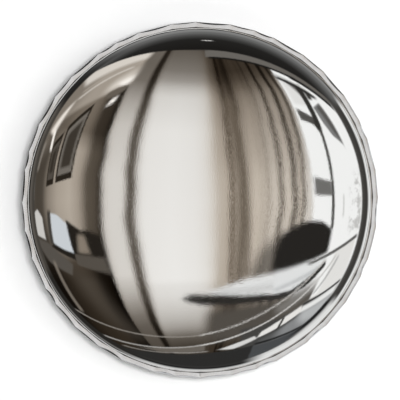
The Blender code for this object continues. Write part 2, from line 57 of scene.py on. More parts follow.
SHEET = 1 * MM

# The dome's curves, as in the CAD model; a box can't give them.
DOME_CURVATURE = 437 * MM
SHOULDER_RADIUS = 25 * MM
DOME_WALL = 3 * MM
FLANGE_WIDTH = 6 * MM
DOME_SIDES = 288
RIPPLE = 0.10 * MM  # how far the polished face wavers

# The rim, whose hammer marks are a little shallower than in the CAD model, but rounder.
FACETS = 40
FACET_DEPTH = 1.7 * MM
FACET_STEPS = 14  # along each mark
RIM_SEAM = 0.6 * MM
LIP_GAP = 0.6 * MM  # from the dome's foot to the rim's inner edge
LIP_WAVE = 1.3 * MM  # how much wider the lip opens at a ridge than in a hollow
EDGE_ROUNDING = 0.5 * MM
EDGE_LEAN = 2.6 * MM  # how far a hollow's front edge leans in
EDGE_DEPTH = 6 * MM  # how far back the front edge reaches
BACK_LIP_RADIUS = 274 * MM

COVER_HUB_RADIUS = 80 * MM
COVER_STEP = 4 * MM
COVER_SLOPE = (92 * MM, 262 * MM)
COVER_FLANGE_RADIUS = 268 * MM
COVER_BEADS = (150 * MM, 215 * MM)
BEAD_HALF_WIDTH = 10 * MM
BEAD_HEIGHT = 3 * MM
VENT_HOLE_RADIUS = 9 * MM

M8 = {"thread": 4 * MM, "pitch": 1.25 * MM, "across_flats": 13 * MM}
M10 = {"thread": 5 * MM, "pitch": 1.5 * MM, "across_flats": 17 * MM}
MUSHROOM_HEAD = {"radius": 9 * MM, "height": 4.5 * MM, "brim": 1 * MM}
HEXAGON_HEAD_HEIGHT = 6.4 * MM
LOCKING_COLLAR = {"radius": 7.4 * MM, "height": 2 * MM}
PAN_HEAD_HEIGHT = 2.6 * MM
WASHER_GAP = 0.4 * MM
RUNNING_GAP = 0.3 * MM
BUSH_BARREL_RADIUS = 7 * MM
BOSS_FACE = 22.3 * MM  # from the middle of a pivot
WELD_RADIUS = 1.9 * MM
WELD_REACH = 20 * MM

HALF_VIEW = 1.1204482  # half of the view's width over the rim's radius
CAMERA_LENS = 200
CAMERA_SENSOR = 36

body_of = {node: body for body, nodes in frame["record"]["behaviour"]["bodies"].items() for node in nodes}
slot_of = {entry["node"]: entry["material_slot"] for entry in frame["record"]["subparts"]}
dome_low, dome_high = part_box("mirror_dome")
rim_low, rim_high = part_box("rim_band")
DOME_EDGE_RADIUS = dome_high.x
DOME_FOOT_RADIUS = DOME_EDGE_RADIUS - FLANGE_WIDTH
RIM_RADIUS = rim_high.z


# Node trees


class Graph:
    """Adds and joins the nodes of one material's or world's tree."""

    def __init__(self, tree):
        self.tree = tree

    def put(self, socket, value):
        if isinstance(value, bpy.types.NodeSocket):
            self.tree.links.new(value, socket)
        else:
            socket.default_value = value

    def node(self, kind, inputs=None, **settings):
        made = self.tree.nodes.new(kind)
        for name, value in settings.items():
            setattr(made, name, value)
        for name, value in (inputs or {}).items():
            self.put(made.inputs[name], value)
        return made

    def maths(self, operation, *values):
        made = self.node("ShaderNodeMath", operation=operation)
        for socket, value in zip(made.inputs, values):
            self.put(socket, value)
        return made.outputs[0]

    def rise(self, value, start, end, low=0.0, high=1.0):
        """Goes smoothly from low to high as the value goes from start to end."""
        inputs = {"Value": value, "From Min": start, "From Max": end, "To Min": low, "To Max": high}
        made = self.node("ShaderNodeMapRange", inputs, interpolation_type="SMOOTHSTEP", clamp=False)
        return made.outputs[0]

    def mix(self, share, one, other, blend="MIX"):
        made = self.node("ShaderNodeMix", data_type="RGBA", blend_type=blend, clamp_factor=True)
        for socket, value in zip((made.inputs[0], made.inputs[6], made.inputs[7]), (share, one, other)):
            self.put(socket, value)
        return made.outputs[2]

    def ramp(self, share, stops):
        """Stops are (place from 0 to 1, colour)."""
        made = self.node("ShaderNodeValToRGB", {"Fac": share})
        elements = made.color_ramp.elements
        while len(elements) < len(stops):
            elements.new(1.0)
        for element, (place, colour) in zip(elements, stops):
            element.position = place
            element.color = colour
        return made.outputs["Color"]

    def noise(self, vector, scale, detail=2.0, roughness=0.5):
        inputs = {"Vector": vector, "Scale": scale, "Detail": detail, "Roughness": roughness}
        return self.node("ShaderNodeTexNoise", inputs).outputs[0]

    def cells(self, vector, scale, feature="F1"):
        return self.node("ShaderNodeTexVoronoi", {"Vector": vector, "Scale": scale}, feature=feature)

    def stretched(self, vector, scale):
        return self.node("ShaderNodeMapping", {"Vector": vector, "Scale": scale}).outputs[0]

    def dot(self, one, other):
        return self.node("ShaderNodeVectorMath", {0: one, 1: other}, operation="DOT_PRODUCT").outputs["Value"]

    def bump(self, height, distance, onto=None):
        inputs = {"Height": height, "Distance": distance, "Strength": 1.0}
        if onto:
            inputs["Normal"] = onto
        return self.node("ShaderNodeBump", inputs).outputs[0]


def grey(value, warmth=0):
    """Scene colour of a screen tone from 0 to 255; warmth is red less blue on that scale."""
    screen = [value + 0.47 * warmth, value, value - 0.53 * warmth]
    shares = [min(max(channel / 255, 0), 1) for channel in screen]
    return (*[s / 12.92 if s <= 0.04045 else ((s + 0.055) / 1.055) ** 2.4 for s in shares], 1)


def new_material(name, metallic):
    """An empty material. Returns it, its graph, its shader and where each point is on the object."""
    material = bpy.data.materials.new(name)
    material.use_nodes = True
    graph = Graph(material.node_tree)
    shader = material.node_tree.nodes["Principled BSDF"]
    shader.inputs["Metallic"].default_value = metallic
    place = graph.node("ShaderNodeTexCoord").outputs["Object"]
    return material, graph, shader, place


def coat(graph, shader, colour, roughness, normal):
    graph.put(shader.inputs["Base Color"], colour)
    graph.put(shader.inputs["Roughness"], roughness)
    graph.put(shader.inputs["Normal"], normal)


def distance_from_axis(graph, place):
    """How far a point is from the mirror's own axis, along Y."""
    parts = graph.node("ShaderNodeSeparateXYZ", {"Vector": place})
    squares = [graph.maths("MULTIPLY", parts.outputs[k], parts.outputs[k]) for k in ("X", "Z")]
    return graph.maths("SQRT", graph.maths("ADD", *squares))


def polished_steel():
    """Mirror-polished sheet with a fine grain. It is strongest in the middle, where it was drawn the most."""
    material, graph, shader, place = new_material("polished_steel", 1.0)
    away = distance_from_axis(graph, place)
    tint = graph.mix(graph.noise(place, 5, 2), (0.89, 0.89, 0.875, 1), (0.875, 0.88, 0.87, 1))
    haze = graph.rise(away, 0.08, 0.24, 0.048, 0.024)
    patches = graph.rise(graph.noise(place, 9, 3), 0.35, 0.65, 0.9, 1.15)
    fade = graph.rise(away, 0.15, 0.25, 1.0, 0.06)
    grain = graph.maths("MULTIPLY", graph.noise(place, 520, 0), fade)
    coat(graph, shader, tint, graph.maths("MULTIPLY", haze, patches), graph.bump(grain, 0.045 * MM))
    return material


def hammered_steel():
    """Satin silver, softly dimpled by the hammer and brushed round the edge."""
    material, graph, shader, place = new_material("hammered_steel", 1.0)
    wear = graph.noise(place, 45, 4, 0.6)
    tone = graph.mix(graph.rise(wear, 0.3, 0.7), (0.80, 0.815, 0.835, 1), (0.735, 0.75, 0.775, 1))
    satin = graph.rise(graph.noise(place, 160, 3), 0.3, 0.7, 0.19, 0.25)
    beaten = graph.bump(graph.cells(place, 70, "SMOOTH_F1").outputs["Distance"], 0.05 * MM)
    brushed = graph.noise(graph.stretched(place, (700, 2600, 700)), 1, 2)
    coat(graph, shader, tone, satin, graph.bump(brushed, 0.003 * MM, beaten))
    return material


def painted_cover():
    """Light grey stoved paint with orange peel, dust towards the rim and faint runs of dirt."""
    material, graph, shader, place = new_material("painted_cover", 0.0)
    away = distance_from_axis(graph, place)
    clouds = graph.noise(place, 14, 5, 0.6)
    paint = graph.mix(clouds, (0.50, 0.515, 0.52, 1), (0.58, 0.59, 0.59, 1))
    runs = graph.noise(graph.stretched(place, (70, 70, 5)), 1, 4, 0.7)
    dirt = graph.maths("MULTIPLY", graph.rise(runs, 0.52, 0.75), graph.rise(away, 0.09, 0.27, 0.15, 0.7))
    dusty = graph.mix(dirt, paint, (0.33, 0.315, 0.29, 1))
    specks = graph.rise(graph.noise(place, 700, 2), 0.70, 0.76)
    colour = graph.mix(specks, dusty, (0.24, 0.23, 0.215, 1))
    peel = graph.bump(graph.noise(place, 520, 2), 0.10 * MM)
    coat(graph, shader, colour, graph.rise(clouds, 0.3, 0.7, 0.36, 0.52), peel)
    return material


def galvanised_steel():
    """Hot-dip zinc: feathery spangles a few millimetres across, dulled by white bloom in places."""
    material, graph, shader, place = new_material("galvanised_steel", 1.0)
    noise = graph.node("ShaderNodeTexNoise", {"Vector": place, "Scale": 160, "Detail": 2.0})
    sides = {0: noise.outputs["Color"], 1: (0.004, 0.004, 0.004)}
    bent = graph.node("ShaderNodeVectorMath", sides, operation="MULTIPLY").outputs[0]
    moved = graph.node("ShaderNodeVectorMath", {0: place, 1: bent}, operation="ADD").outputs[0]
    spangle = graph.cells(moved, 170)
    parts = graph.node("ShaderNodeSeparateColor", {"Color": spangle.outputs["Color"]})
    zinc = graph.mix(parts.outputs[0], (0.50, 0.52, 0.54, 1), (0.72, 0.735, 0.75, 1))
    bloom = graph.rise(graph.noise(place, 45, 5, 0.65), 0.55, 0.72, 0.0, 0.5)
    shine = graph.rise(parts.outputs[1], 0, 1, 0.28, 0.46)
    dull = graph.maths("ADD", shine, graph.maths("MULTIPLY", bloom, 0.4))
    grain = graph.bump(graph.noise(place, 380, 3), 0.06 * MM)
    coat(graph, shader, graph.mix(bloom, zinc, (0.60, 0.60, 0.59, 1)), dull, grain)
    return material


def cast_aluminium():
    """Sand-cast grain, with darker hollows."""
    material, graph, shader, place = new_material("cast_aluminium", 1.0)
    sand = graph.noise(place, 1100, 3, 0.6)
    lumps = graph.noise(place, 220, 3)
    metal = graph.mix(lumps, (0.52, 0.52, 0.52, 1), (0.70, 0.70, 0.69, 1))
    rough = graph.bump(sand, 0.12 * MM, graph.bump(lumps, 0.35 * MM))
    coat(graph, shader, metal, graph.rise(sand, 0.3, 0.7, 0.42, 0.62), rough)
    return material


def fine_grained(name, metallic, noise, colours, roughness, grain):
    """Two colours and two roughnesses mixed by one noise, with a fine bump of (scale, detail, height)."""
    material, graph, shader, place = new_material(name, metallic)
    haze = graph.noise(place, *noise)
    scale, detail, height = grain
    bumps = graph.bump(graph.noise(place, scale, detail), height)
    coat(graph, shader, graph.mix(haze, *colours), graph.rise(haze, 0.3, 0.7, *roughness), bumps)
    return material


def zinc_fastener():
    """Bright zinc plate with a faint yellow passivate, and rubbed corners."""
    colours = (0.74, 0.73, 0.66, 1), (0.66, 0.68, 0.70, 1)
    return fine_grained("zinc_fastener", 1.0, (330, 4, 0.6), colours, (0.22, 0.38), (1500, 2, 0.015 * MM))


def black_rubber():
    """Moulded rubber, greyed by weather."""
    colours = (0.016, 0.016, 0.017, 1), (0.050, 0.049, 0.047, 1)
    return fine_grained("black_rubber", 0.0, (120, 5, 0.7), colours, (0.62, 0.85), (1400, 3, 0.05 * MM))


def black_nylon():
    """Turned nylon with fine marks from the tool."""
    colours = (0.022, 0.022, 0.024, 1), (0.040, 0.040, 0.042, 1)
    return fine_grained("black_nylon", 0.0, (300, 3), colours, (0.38, 0.5), (2200, 1, 0.012 * MM))


def natural_nylon():
    """The pale ring that grips the thread in a locking nut."""
    material, graph, shader, place = new_material("natural_nylon", 0.0)
    haze = graph.noise(place, 400, 3)
    graph.put(shader.inputs["Base Color"], graph.mix(haze, (0.66, 0.64, 0.56, 1), (0.74, 0.73, 0.68, 1)))
    graph.put(shader.inputs["Roughness"], graph.rise(haze, 0.3, 0.7, 0.35, 0.5))
    shader.inputs["Subsurface Weight"].default_value = 0.1
    return material


# Shapes


def new_piece(name, shape):
    """Turns a bmesh into a smooth-shaded object whose corners over 30 degrees stay sharp."""
    bmesh.ops.recalc_face_normals(shape, faces=shape.faces)
    mesh = bpy.data.meshes.new(name)
    shape.to_mesh(mesh)
    shape.free()
    mesh.shade_smooth()
    mesh.set_sharp_from_angle(angle=math.radians(30))
    made = bpy.data.objects.new(name, mesh)
    bpy.context.scene.collection.objects.link(made)
    return made


def about(axis, centre, radius, along, angle):
    """The point at a radius and angle round an axis through the centre, and at a coordinate along it."""
    across, up = radius * math.cos(angle), radius * math.sin(angle)
    if axis == "X":
        return (along, centre[1] + across, centre[2] + up)
    if axis == "Y":
        return (centre[0] + across, along, centre[2] + up)
    return (centre[0] + across, centre[1] + up, along)


def swept(name, outline_at, sides=96, axis="Y", centre=(0, 0, 0), angles=None):
    """Carries a closed outline of (radius, place along the axis) points round it, or only over the angles."""
    shape = bmesh.new()
    turns = angles or [TAU * k / sides for k in range(sides)]
    columns = [[shape.verts.new(about(axis, centre, r, t, a)) for r, t in outline_at(a)] for a in turns]
    neighbours = columns[1:] if angles else columns[1:] + columns[:1]
    for one, other in zip(columns, neighbours):
        for k in range(len(one)):
            after = (k + 1) % len(one)
            shape.faces.new((one[k], one[after], other[after], other[k]))
    if angles:
        shape.faces.new(columns[0])
        shape.faces.new(columns[-1][::-1])
    bmesh.ops.remove_doubles(shape, verts=shape.verts, dist=0.001 * MM)
    return new_piece(name, shape)


def softened(outline, size, steps=3):
    """The outline with each corner that is off the axis rounded back by the size given."""
    rounded = []
    for k, (radius, along) in enumerate(outline):
        corner = Vector((radius, along))
        before, after = Vector(outline[k - 1]), Vector(outline[(k + 1) % len(outline)])
        if radius < 1e-6:
            rounded.append((radius, along))
            continue
        back = min(size, (before - corner).length * 0.45)
        onward = min(size, (after - corner).length * 0.45)
        start = corner + (before - corner).normalized() * back
        end = corner + (after - corner).normalized() * onward
        for step in range(steps + 1):
            share = step / steps
            point = start.lerp(corner, share).lerp(corner.lerp(end, share), share)
            rounded.append((point.x, point.y))
    return rounded


def turned(name, outline, soften=0.3 * MM, **options):
    points = softened(outline, soften)
    return swept(name, lambda angle: points, **options)


def hexagon_radius(angle, across_flats):
    """From the axis to the side of a hexagon with a corner at angle 0."""
    sector = TAU / 6
    return across_flats / 2 / math.cos(angle % sector - sector / 2)


def thread(screw, start, end, angle, steps_per_pitch=6):
    """Outline points of a screw thread from start to end. It winds once in each pitch."""
    pitch, depth = screw["pitch"], 0.6 * screw["pitch"]
    count = max(2, round(abs(end - start) / pitch * steps_per_pitch))
    points = []
    for k in range(count + 1):
        along = start + (end - start) * k / count
        phase = (along / pitch - angle / TAU) % 1
        points.append((screw["thread"] - depth * abs(2 * phase - 1), along))
    return points


def carved(piece, cutter):
    """Cuts the cutter out of the piece for good."""
    modifier = piece.modifiers.new("cut", "BOOLEAN")
    modifier.operation = "DIFFERENCE"
    modifier.object = cutter
    bpy.context.view_layer.update()
    evaluated = piece.evaluated_get(bpy.context.evaluated_depsgraph_get())
    mesh = bpy.data.meshes.new_from_object(evaluated)
    piece.modifiers.clear()
    piece.data = mesh
    bpy.data.objects.remove(cutter)
    mesh.set_sharp_from_angle(angle=math.radians(30))
    return piece


def stand_for(piece, *nodes):
    """The piece takes the place of CAD nodes, with their body, slot and material."""
    slot = slot_of[nodes[0]]
    if not piece.data.materials:
        piece.data.materials.append(finishes[slot])
    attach(piece, body_of[nodes[0]])
    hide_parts(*nodes)
    return piece


def add_trim(piece, node, slot, material=None):
    """A small piece that goes with a CAD node and takes nothing's place."""
    piece.data.materials.append(material or finishes[slot])
    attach(piece, body_of[node])
    return piece


def middle(node):
    low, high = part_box(node)
    return (low + high) / 2


# The mirror head


def dome_face(curvature, shoulder, sphere_steps, shoulder_steps):
    """(radius, y) points of one face of the dome, from its top to the foot of its shoulder."""
    centre_radius = DOME_FOOT_RADIUS - SHOULDER_RADIUS
    turn_in = math.asin(centre_radius / (DOME_CURVATURE - SHOULDER_RADIUS))
    sphere_y = dome_low.y + DOME_CURVATURE
    shoulder_y = dome_high.y - SHEET - DOME_WALL
    points = []
    for k in range(sphere_steps + 1):
        angle = turn_in * k / sphere_steps
        points.append((curvature * math.sin(angle), sphere_y - curvature * math.cos(angle)))
    for k in range(1, shoulder_steps + 1):
        angle = turn_in + (TAU / 4 - turn_in) * k / shoulder_steps
        points.append((centre_radius + shoulder * math.sin(angle), shoulder_y - shoulder * math.cos(angle)))
    return points


def ripple(x, z):
    """How far the polished face stands back from a true sphere, from pressing and hand polishing."""
    wander = math.sin(x / 0.043 + 1.3 * math.sin(z / 0.061)) + math.sin(z / 0.052 + math.sin(x / 0.047 + 2))
    still = min(1, max(0, (0.27 - math.hypot(x, z)) / 0.06))
    return RIPPLE * (1 + wander / 2) * still


def make_dome():
    outside = dome_face(DOME_CURVATURE, SHOULDER_RADIUS, 80, 20)
    inside = dome_face(DOME_CURVATURE - SHEET, SHOULDER_RADIUS - SHEET, 24, 6)
    front, back = dome_high.y - SHEET, dome_high.y
    flange = [
        (DOME_FOOT_RADIUS, front),
        (DOME_EDGE_RADIUS, front),
        (DOME_EDGE_RADIUS, back),
        (DOME_FOOT_RADIUS - SHEET, back),
    ]

    def outline_at(angle):
        across, up = math.cos(angle), math.sin(angle)
        face = [(r, y + ripple(r * across, r * up)) for r, y in outside]
        return face + flange + inside[::-1]

    dome = swept("polished_dome", outline_at, DOME_SIDES)
    stand_for(dome, "mirror_dome")


def make_seal():
    """The rubber channel; only a thin line of it shows between the dome and the rim."""
    low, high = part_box("dome_gasket")
    lip, edge = DOME_FOOT_RADIUS + LIP_GAP, DOME_EDGE_RADIUS + RUNNING_GAP
    flange_front, flange_back = dome_high.y - SHEET - RUNNING_GAP, dome_high.y + RUNNING_GAP
    outline = [
        (lip, high.y),
        (high.x, high.y),
        (high.x, low.y),
        (lip, low.y),
        (lip, flange_front),
        (edge, flange_front),
        (edge, flange_back),
        (lip, flange_back),
    ]
    stand_for(turned("rubber_edge_seal", outline, sides=DOME_SIDES), "dome_gasket")


def facet_ridges():
    """Angles of the ridges between hammer marks, uneven as by hand, from the seam at the bottom round."""
    widths = [1 + 0.24 * math.sin(2.4 * k + 0.7) + 0.12 * math.sin(5.1 * k) for k in range(FACETS)]
    span = TAU - RIM_SEAM / RIM_RADIUS
    ridges = [-TAU / 4 + RIM_SEAM / RIM_RADIUS / 2]
    for width in widths:
        ridges.append(ridges[-1] + span * width / sum(widths))
    return ridges


def make_rim():
    """The hammered band: each mark hollows its outer wall, most of all at the front, and pulls in its lip."""
    ridges = facet_ridges()
    front = rim_low.y + 0.05 * MM

    def outline_at(angle):
        k = max(i for i in range(FACETS) if ridges[i] <= angle + 1e-9)
        along = (angle - ridges[k]) / (ridges[k + 1] - ridges[k])
        hollow = math.sin(math.pi * along) ** 0.8 * (0.75 + 0.25 * math.sin(3.7 * k))
        outer = RIM_RADIUS - 0.05 * MM - FACET_DEPTH * hollow
        front_outer = outer - EDGE_ROUNDING - EDGE_LEAN * hollow
        lip = DOME_FOOT_RADIUS + LIP_GAP + LIP_WAVE * (1 - hollow)
        dished = front + 0.5 * MM * hollow
        outline = [
            (lip, dished + 0.2 * MM),
            ((lip + front_outer) / 2, dished),
            (front_outer, front + 0.1 * MM * hollow),
            (outer, front + EDGE_DEPTH),
            (outer, rim_high.y),
            (BACK_LIP_RADIUS, rim_high.y),
            (BACK_LIP_RADIUS, rim_high.y - SHEET),
            (outer - SHEET, rim_high.y - SHEET),
            (outer - SHEET, front + EDGE_DEPTH),
            (front_outer - SHEET, dished + SHEET),
            (lip, dished + 0.8 * SHEET),
        ]
        return softened(outline, 0.8 * MM, 4)

    angles = []
    for start, end in zip(ridges, ridges[1:]):
        angles += [start + (end - start) * k / FACET_STEPS for k in range(FACET_STEPS)]
    angles.append(ridges[-1])
    stand_for(swept("hammered_rim_band", outline_at, angles=angles), "rim_band")


def eased(value, start, end):
    share = min(1, max(0, (value - start) / (end - start)))
    return share * share * (3 - 2 * share)


def cover_back(radius):
    """The y of the rear cover's back: a flat hub, a step, a slope with two pressed beads, and a flange."""
    low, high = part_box("rear_cover")
    hub, flange = high.y, low.y + SHEET
    start, end = COVER_SLOPE
    top, foot = hub - COVER_STEP, flange + SHEET
    slope = top + (foot - top) * min(1, max(0, (radius - start) / (end - start)))
    y = hub + (slope - hub) * eased(radius, COVER_HUB_RADIUS, start)
    y += (flange - foot) * eased(radius, end, COVER_FLANGE_RADIUS)
    for bead in COVER_BEADS:
        y += BEAD_HEIGHT * (1 - eased(abs(radius - bead), 0.3 * BEAD_HALF_WIDTH, BEAD_HALF_WIDTH))
    return y


def make_cover():
    steps = 118
    radii = [DOME_EDGE_RADIUS * k / steps for k in range(steps + 1)]
    back = [(r, cover_back(r)) for r in radii]
    front = [(r, y - SHEET) for r, y in back]
    points = back + front[::-1]
    cover = swept("painted_rear_cover", lambda angle: points, 192)
    vent = middle("vent_grommet")
    outline = [(0, vent.y - 9 * MM), (VENT_HOLE_RADIUS, vent.y - 9 * MM), (VENT_HOLE_RADIUS, vent.y + 9 * MM)]
    outline.append((0, vent.y + 9 * MM))
    cutter = swept("vent_cutter", lambda angle: outline, 64, centre=vent)
    stand_for(carved(cover, cutter), "rear_cover")


def make_grommet():
    low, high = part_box("vent_grommet")
    flange, neck, bore, thick = (high.x - low.x) / 2, VENT_HOLE_RADIUS - 0.4 * MM, 4.5 * MM, 1.8 * MM
    outline = [
        (bore, high.y),
        (flange - 1 * MM, high.y),
        (flange, high.y - 0.4 * thick),
        (flange, high.y - thick),
        (neck, high.y - thick),
        (neck, low.y + thick),
        (flange, low.y + thick),
        (flange, low.y),
        (bore, low.y),
    ]
    ring = turned("rubber_vent_ring", outline, 0.5 * MM, sides=72, centre=middle("vent_grommet"))
    stand_for(ring, "vent_grommet")


def make_screw_mesh():
    """Pan-head screw with a cross recess, its seat at y = 0, its head towards +Y and its point towards -Y."""
    head = [(0, 2.6), (1.6, 2.55), (2.9, 2.15), (3.6, 1.3), (3.8, 0.5), (3.7, 0)]
    shank = [(2.0, 0), (2.0, -4.6), (1.6, -5.0), (0, -5.8)]
    points = [(r * MM, y * MM) for r, y in head + shank]
    smooth = [points[0]] + softened(points[1:-1], 0.25 * MM, 2)[1:] + [points[-1]]
    screw = swept("screw", lambda angle: smooth, 32)
    for turn in (0, TAU / 4):
        shape = bmesh.new()
        bmesh.ops.create_cone(
            shape, cap_ends=True, segments=4, radius1=0.9 * MM, radius2=2.6 * MM, depth=2.0 * MM
        )
        bmesh.ops.rotate(shape, verts=shape.verts, matrix=Matrix.Rotation(TAU / 8, 3, "Z"))
        bmesh.ops.scale(shape, verts=shape.verts, vec=(1, 0.26, 1))
        bmesh.ops.rotate(shape, verts=shape.verts, matrix=Matrix.Rotation(-TAU / 4, 3, "X"))
        bmesh.ops.rotate(shape, verts=shape.verts, matrix=Matrix.Rotation(turn, 3, "Y"))
        bmesh.ops.translate(shape, verts=shape.verts, vec=(0, 2.2 * MM, 0))
        screw = carved(screw, new_piece("cross_cutter", shape))
    mesh = screw.data
    mesh.materials.append(finishes["zinc_fastener"])
    bpy.data.objects.remove(screw)
    return mesh


def make_screws():
    mesh = make_screw_mesh()
    names = sorted(n for n in frame["nodes"] if n.startswith(("rim_screw", "joint_screw")))
    for k, node in enumerate(names):
        centre = middle(node)
        piece = bpy.data.objects.new(f"{node}_pan_head", mesh)
        bpy.context.scene.collection.objects.link(piece)
        piece.location = (centre.x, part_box(node)[1].y - PAN_HEAD_HEIGHT, centre.z)
        piece.rotation_euler = (0, 1.7 * k, 0)
        stand_for(piece, node)


# Bolts, nuts and washers


def make_washer(node, axis, hole):
    low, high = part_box(node)
    k = "XYZ".index(axis)
    across = (k + 1) % 3
    outer = (high[across] - low[across]) / 2
    outline = [(hole, low[k]), (outer, low[k]), (outer, high[k]), (hole, high[k])]
    ring = turned(f"{node}_ring", outline, 0.25 * MM, sides=64, axis=axis, centre=middle(node))
    stand_for(ring, node)


def hexagon_part(inner, flat, start, end, across_flats, angle):
    """Outline points of a hexagon's side from start to end, its corners turned off at both ends."""
    side = hexagon_radius(angle, across_flats) - 0.05 * MM
    slope = math.copysign((side - flat) * math.tan(math.radians(30)), end - start)
    return [(inner, start), (flat, start), (side, start + slope), (side, end - slope), (flat, end)]


def make_hub_fastenings(corner):
    """Mushroom-headed bolt through the cover's hub, with its washer and nut behind the head plate."""
    bolt, nut = f"hub_bolt_{corner}", f"hub_nut_{corner}"
    centre = middle(bolt)
    low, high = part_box(bolt)
    nut_low, nut_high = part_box(nut)
    head_radius, rise = MUSHROOM_HEAD["radius"], MUSHROOM_HEAD["height"] - MUSHROOM_HEAD["brim"]
    brim, seat = low.y + rise, low.y + MUSHROOM_HEAD["height"]
    turns = [TAU / 4 * k / 8 for k in range(9)]
    dome = [(head_radius * math.sin(turn), brim - rise * math.cos(turn)) for turn in turns]
    shank = [(head_radius, seat), (M8["thread"], seat), (M8["thread"], nut_low.y)]

    def outline_at(angle):
        threads = thread(M8, nut_low.y - 0.1 * MM, high.y - 0.8 * MM, angle)
        return dome + shank + threads + [(M8["thread"] - 1.2 * MM, high.y), (0, high.y)]

    stand_for(swept(f"{bolt}_threaded", outline_at, 48, centre=centre), bolt)
    flat = 0.47 * M8["across_flats"]
    bore = M8["thread"] + RUNNING_GAP

    def nut_outline(angle):
        faces = hexagon_part(bore, flat, nut_low.y, nut_high.y, M8["across_flats"], angle)
        return faces + [(bore, nut_high.y)]

    stand_for(swept(f"{nut}_hexagon", nut_outline, 96, centre=centre), nut)
    make_washer(f"hub_washer_{corner}", "Y", M8["thread"] + WASHER_GAP)


def make_pivot_hardware(prefix, axis, ends):
    """A pivot's hexagon bolt, two washers and locking nut with its nylon ring."""
    k = "XYZ".index(axis)
    bolt, nut = f"{prefix}_bolt", f"{prefix}_nut"
    low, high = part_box(bolt)
    side = 1 if high[k] < -low[k] else -1  # the end that has the head
    tip = -side * max(-low[k], high[k])
    head_end = side * min(-low[k], high[k])
    head_start = head_end - side * HEXAGON_HEAD_HEIGHT
    across_flats, radius = M10["across_flats"], M10["thread"]
    flat = 0.475 * across_flats
    nut_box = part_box(nut)
    nut_inner = -side * min(abs(nut_box[0][k]), abs(nut_box[1][k]))
    nut_outer = -side * max(abs(nut_box[0][k]), abs(nut_box[1][k]))
    collar_start = nut_outer + side * LOCKING_COLLAR["height"]

    def bolt_outline(angle):
        head = hexagon_part(0, flat, head_end, head_start, across_flats, angle)
        turns = thread(M10, collar_start, tip + side * 0.9 * MM, angle)
        end = [(radius - 1.4 * MM, tip), (0, tip)]
        return head + [(radius, head_start), (radius, collar_start + side * 0.1 * MM)] + turns + end

    stand_for(swept(f"{bolt}_threaded", bolt_outline, 96, axis, middle(bolt)), bolt)
    bore = radius + RUNNING_GAP
    groove = bore + 0.6 * MM  # holds the nylon ring
    wide = LOCKING_COLLAR["radius"]
    collar_edge = (wide - 0.1 * MM, nut_outer + side * 0.6 * MM)
    collar = [(wide, collar_start), collar_edge, (wide - 0.7 * MM, nut_outer)]

    def nut_outline(angle):
        faces = hexagon_part(bore, flat, nut_inner, collar_start, across_flats, angle)
        return faces + collar + [(groove, nut_outer), (groove, collar_start), (bore, collar_start)]

    stand_for(swept(f"{nut}_hexagon", nut_outline, 96, axis, middle(nut)), nut)
    inset = nut_outer + side * 0.35 * MM
    outline = [
        (bore - 0.25 * MM, collar_start - side * 0.1 * MM),
        (bore + 0.5 * MM, collar_start - side * 0.1 * MM),
        (bore + 0.5 * MM, inset),
        (bore - 0.25 * MM, inset),
    ]
    ring = turned(f"{nut}_locking_ring", outline, 0.1 * MM, sides=64, axis=axis, centre=middle(nut))
    add_trim(ring, nut, "nylon_bush", natural_nylon_material)
    for end in ends:
        make_washer(f"{prefix}_washer_{end}", axis, radius + WASHER_GAP)


def make_bush(node, axis):
    low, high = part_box(node)
    k = "XYZ".index(axis)
    side = 1 if high[k] > -low[k] else -1
    outer = max(abs(low[k]), abs(high[k]))
    inner = min(abs(low[k]), abs(high[k]))
    bore, barrel = M10["thread"] + RUNNING_GAP, BUSH_BARREL_RADIUS
    flange = (high[(k + 1) % 3] - low[(k + 1) % 3]) / 2
    outline = [(bore, inner), (barrel, inner), (barrel, BOSS_FACE), (flange, BOSS_FACE)]
    outline += [(flange, outer), (bore, outer)]
    placed = [(r, side * along) for r, along in outline]
    bush = turned(f"{node}_turned", placed, 0.25 * MM, sides=64, axis=axis, centre=middle(node))
    stand_for(bush, node)


# Plates, yokes and the casting keep their CAD shape, with edges broken


def break_edges(node, width):
    """Rounds a CAD node's corners by a bevel of this width."""
    piece = frame["nodes"][node]
    weld = piece.modifiers.new("weld", "WELD")
    weld.merge_threshold = 0.005 * MM
    bevel = piece.modifiers.new("broken_edges", "BEVEL")
    bevel.width = width
    bevel.segments = 3
    bevel.limit_method = "ANGLE"
    bevel.angle_limit = math.radians(40)
    normals = piece.modifiers.new("even_normals", "WEIGHTED_NORMAL")
    normals.keep_sharp = True
    return piece


def cast_smooth(node, voxel):
    """Gives a CAD node the soft corners of a casting."""
    piece = frame["nodes"][node]
    remesh = piece.modifiers.new("skin", "REMESH")
    remesh.mode = "VOXEL"
    remesh.voxel_size = voxel
    remesh.use_smooth_shade = True
    smooth = piece.modifiers.new("soften", "SMOOTH")
    smooth.factor = 0.5
    smooth.iterations = 5
    return piece


def paint_frame_nodes():
    for node, piece in frame["nodes"].items():
        for slot in piece.material_slots:
            slot.material = finishes[slot_of[node]]


